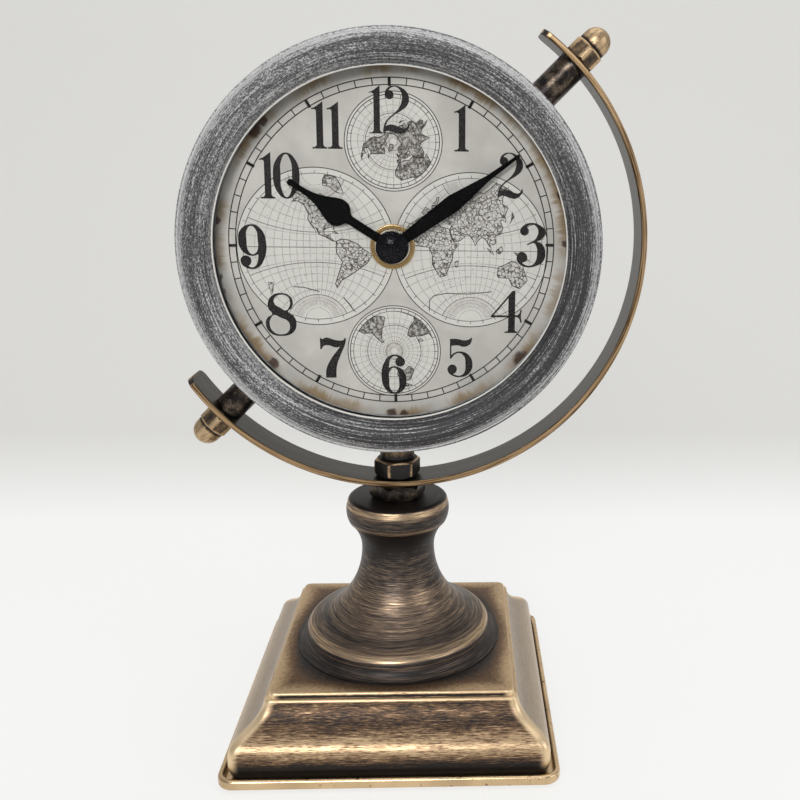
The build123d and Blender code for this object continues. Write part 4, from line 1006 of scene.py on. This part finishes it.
# hour hand: hub, bar, round-shouldered spade drawn out to a thin neck and ball tip, stamped from sheet
hourBlade = {"turn": 302.3, "hub": 5.5, "root": 16, "bore": 2.8, "ease": 0.1, "sides": (
    (1.52, 17.0), (1.75, 17.9), (2.6, 18.6), (3.5, 19.2), (4.2, 20.0), (4.62, 21.0), (4.78, 22.2), (4.72, 23.3),
    (4.3, 24.7), (3.62, 26.2), (2.92, 27.7), (2.34, 29.1), (1.83, 30.5), (1.5, 31.9), (1.22, 33.3), (1.06, 34.8),
    (0.97, 36.2), (0.92, 37.8), (0.9, 39.2), (0.97, 40.1), (1.12, 40.7), (1.15, 41.1), (1.0, 41.7), (0.6, 42.15))}
hub, root, sides = hourBlade["hub"], hourBlade["root"], hourBlade["sides"]
outline = [(hub * sin(radians(t)), hub * cos(radians(t))) for t in range(root, 361 - root, 8)]
outline += [(-half, along) for half, along in sides] + [(half, along) for half, along in reversed(sides)]
outline.append(outline[0])
way = radians(hourBlade["turn"])
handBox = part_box("hour_hand")
blade = traceLine([((x * cos(way) + z * sin(way)) * mm, handBox[1].y, headHeight + (z * cos(way) - x * sin(way)) * mm)
                   for x, z in outline])
bpy.ops.mesh.remove_doubles(threshold=weld)
bpy.ops.mesh.select_all(action="SELECT")
bpy.ops.mesh.edge_face_add()
drawOut((0, handBox[0].y - handBox[1].y, 0))
closeMesh(blade, 40)
drillHole(blade, hourBlade["bore"], Vector((0, handBox[0].y, headHeight)), Vector((0, 1, 0)))
easeEdges(blade, hourBlade["ease"], 2, 60)
freeze(blade, "hourBlade", finishes["handBlack"])
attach(blade, "hour")
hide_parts("hour_hand")
print("stage: hour hand stamped")

# arm: the end of a flat bar spun round the head's middle, tips drawn straight and rounded, edges eased, three holes
arm = {"inner": 89.6, "outer": 91.77, "width": 16.0, "start": 213.5, "end": 415.1, "corner": 3.5, "ease": 0.28,
       "steps": 164, "holes": ((45, 3.05), (225, 3.05), (270, 4.05))}
armMiddle = (arm["inner"] + arm["outer"]) / 2 * mm
corner = arm["corner"] * mm
tip = corner / armMiddle
sweep = radians(arm["end"] - arm["start"]) - 2 * tip


def fromAxis(co, spot):
    return (Vector((co.x, 0, co.z)) - spot).length


strip = newPlane(mm)
bpy.ops.transform.resize(value=(arm["outer"] - arm["inner"], arm["width"], 1))
bpy.ops.transform.translate(value=(armMiddle, 0, 0))
bpy.ops.mesh.spin(steps=arm["steps"], angle=sweep, center=(0, 0, 0), axis=(0, 1, 0))
tips = []
for turn, way in ((sweep, 1), (0.0, -1)):
    here = Vector((armMiddle * cos(turn), 0, armMiddle * sin(turn)))
    tangent = Vector((-sin(turn + way * tip / 2), 0, cos(turn + way * tip / 2))) * way
    pick(strip, "VERT", lambda co: fromAxis(co, here) < 1.15 * mm)
    drawOut(tangent * corner)
    tips.append(here + tangent * corner)
pick(strip, "EDGE", lambda a, b: abs(a.y - b.y) < 1e-6 and abs(a.y) > 7.9 * mm
     and min(max(fromAxis(a, end), fromAxis(b, end)) for end in tips) < 1.2 * mm)
bpy.ops.mesh.bevel(offset=0.995 * corner, segments=10, affect="EDGES")
closeMesh(strip)
easeEdges(strip, arm["ease"], 3, 50)
strip.rotation_euler = (0, -radians(arm["start"]) - tip, 0)
strip.location = headMiddle
freeze(strip, "armStrip", finishes["armBronze"])
for angle, radius in arm["holes"]:
    way = Vector((cos(radians(angle)), 0, sin(radians(angle))))
    drillHole(strip, radius, headMiddle + way * armMiddle, way)
closeMesh(strip)
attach(strip, "stand")
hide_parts("meridian_arm")
print("stage: arm shaped")

# bezel: half-round roll with a beaded lip at the glass and a rounded outer edge, spun round the dial's axis
bezelRing = {"lip": [(60.8, -21.1)], "bead": ((60.8, -21.6), (61.02, -21.98), (61.4, -21.86)),
             "roll": ((61.5, -22.02), (67.05, -26.28), (72.1, -22.95)),
             "rim": ((72.2, -22.72), (72.85, -22.75), (73.22, -21.7)),
             "skirt": [(71.95, -13.25), (71.7, -13.0), (70.05, -13.0), (70.05, -19.6), (64.35, -19.6),
                       (64.35, -21.1), (60.8, -21.1)], "steps": 224}
profile = bezelRing["lip"] + arcThrough(*bezelRing["bead"], 6) + arcThrough(*bezelRing["roll"], 36)
profile += arcThrough(*bezelRing["rim"], 6) + bezelRing["skirt"]
ring = spinProfile([(r * mm, y * mm, headHeight) for r, y in profile], headMiddle, (0, 1, 0), bezelRing["steps"])
freeze(ring, "bezelRing", finishes["bezelSilver"])
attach(ring, "clock_head")
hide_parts("bezel")
print("stage: bezel turned")

# pressed base shell: a rounded square drawn down ring by ring over plateau edge, groove, ledge, cove, crease and curl
pressedShell = {"corner": 2.3, "wall": 1.3, "bore": 4.05, "rings": (
    (43.1, 28.39), (43.5, 28.30), (43.82, 28.05), (43.98, 27.65), (44.0, 26.7), (44.08, 26.46), (44.3, 26.39),
    (44.7, 26.36), (45.05, 26.2), (45.3, 25.9), (45.42, 25.5), (45.7, 24.3), (46.2, 22.9), (46.9, 21.6), (47.8, 20.4),
    (49.0, 19.2), (50.4, 18.1), (52.0, 17.1), (53.5, 16.2), (54.6, 15.3), (55.4, 14.4), (56.0, 13.3), (56.4, 12.1),
    (56.58, 10.8), (56.6, 9.0), (56.6, 6.8), (56.4, 5.4), (55.9, 3.8), (55.0, 2.2))}
rings = pressedShell["rings"]
shell = newPlane(2 * rings[0][0] * mm, (0, 0, rings[0][1] * mm))
bpy.ops.mesh.bevel(offset=pressedShell["corner"] * mm, segments=8, affect="VERTICES")
bpy.ops.mesh.select_all(action="SELECT")
bpy.ops.mesh.region_to_loop()
for (half, high), (nextHalf, nextHigh) in zip(rings, rings[1:]):
    drawOut((0, 0, (nextHigh - high) * mm))
    bpy.ops.transform.resize(value=(nextHalf / half, nextHalf / half, 1), center_override=(0, 0, 0))
closeMesh(shell, 50)
work(shell, "SOLIDIFY", thickness=pressedShell["wall"] * mm, offset=-1)
drillHole(shell, pressedShell["bore"], Vector((0, 0, 28 * mm)), upright)
bpy.ops.object.shade_smooth_by_angle(angle=radians(50))
freeze(shell, "pressedShell", finishes["shellBronze"])
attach(shell, "stand")
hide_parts("base_shell")
print("stage: shell pressed")

# camera, light and ground
shot = {"place": (22.657, -349.864, 218.859), "pitch": 0.2186, "yaw": -0.0494, "roll": 0.0148, "focal": 946.48,
        "middle": (502.19, 358.42), "image": 800}
image, sensor, (middleX, middleY) = shot["image"], 36, shot["middle"]
camera = addObject("camera", bpy.data.cameras.new("camera"), sensor_width=sensor, clip_start=0.01,
                   lens=shot["focal"] / image * sensor, shift_x=(image / 2 - middleX) / image,
                   shift_y=(middleY - image / 2) / image)
camera.matrix_world = Matrix.Translation(Vector(shot["place"]) * mm)
for turn, axis in ((shot["yaw"], "Z"), (pi / 2 - shot["pitch"], "X"), (shot["roll"], "Z")):
    camera.matrix_world @= Matrix.Rotation(turn, 4, axis)
bpy.context.scene.camera = camera

ground = {"reach": 1.6, "wall": 0.55, "front": 0.35, "rise": 1.4, "bend": 0.3, "glow": 0.66}
floor = newPlane(2)
bpy.ops.transform.resize(value=(ground["reach"], ground["wall"] + ground["front"], 1))
bpy.ops.transform.translate(value=(0, -ground["front"], 0))
pick(floor, "VERT", lambda co: co.y > 0)
drawOut((0, 0, ground["rise"]))
pick(floor, "EDGE", lambda a, b: max(a.z, b.z) < mm and min(a.y, b.y) > 0)
bpy.ops.mesh.bevel(offset=ground["bend"], segments=16)
bpy.ops.object.mode_set(mode="OBJECT")
bpy.ops.object.shade_smooth()
finish, sockets, place = newFinish("floorWhite", 0.0, 0.6)
wear(sockets, blend(place.noise(3.0, 2.0), (0.63, 0.63, 0.62), (0.66, 0.66, 0.65)))
tree = finish.node_tree
rays = readAll(tree, tree.nodes.new("ShaderNodeLightPath"))
seen = rays["Is Camera Ray"].most(rays["Is Glossy Ray"].most(rays["Is Transmission Ray"]))
glow = tree.nodes.new("ShaderNodeEmission")
x, y, z = place.split()
# painted shade: the glow seen by camera and glossy rays is brightest on the front of the floor and dims towards the
# back and up the wall
far = (z * 1.6 + y.fade(0.1, 0.45)).ramp(((0.15, (1.08, 1.08, 1.06)), (0.75, (0.76, 0.75, 0.715))))
feed(far, glow.inputs["Color"])
overlay(finish, seen * ground["glow"], glow)
freeze(floor, "floorSweep", finish)

lamps = {
    "keyLamp": ((-0.2, -1.08, 0.63), 0.5, 7.2), "fillLamp": ((0.85, -0.45, 0.45), 0.6, 1.8),
    "topLamp": ((0.05, 0.1, 1.05), 0.9, 3.4),
}
aim = Vector((0, 0, 0.13))
for lampName, (spot, size, power) in lamps.items():
    lamp = addObject(lampName, bpy.data.lights.new(lampName, "AREA"), size=size, energy=power)
    lamp.location = spot
    lamp.rotation_euler = (aim - Vector(spot)).to_track_quat("-Z", "Y").to_euler()
world = bpy.data.worlds.new("room")
world.use_nodes = True
world.node_tree.nodes["Background"].inputs["Color"].default_value = (0.93, 0.95, 1.0, 1)
world.node_tree.nodes["Background"].inputs["Strength"].default_value = 0.45
bpy.context.scene.world = world
bpy.context.scene.view_settings.view_transform = "Standard"
print("stage: camera, lamps and ground set")
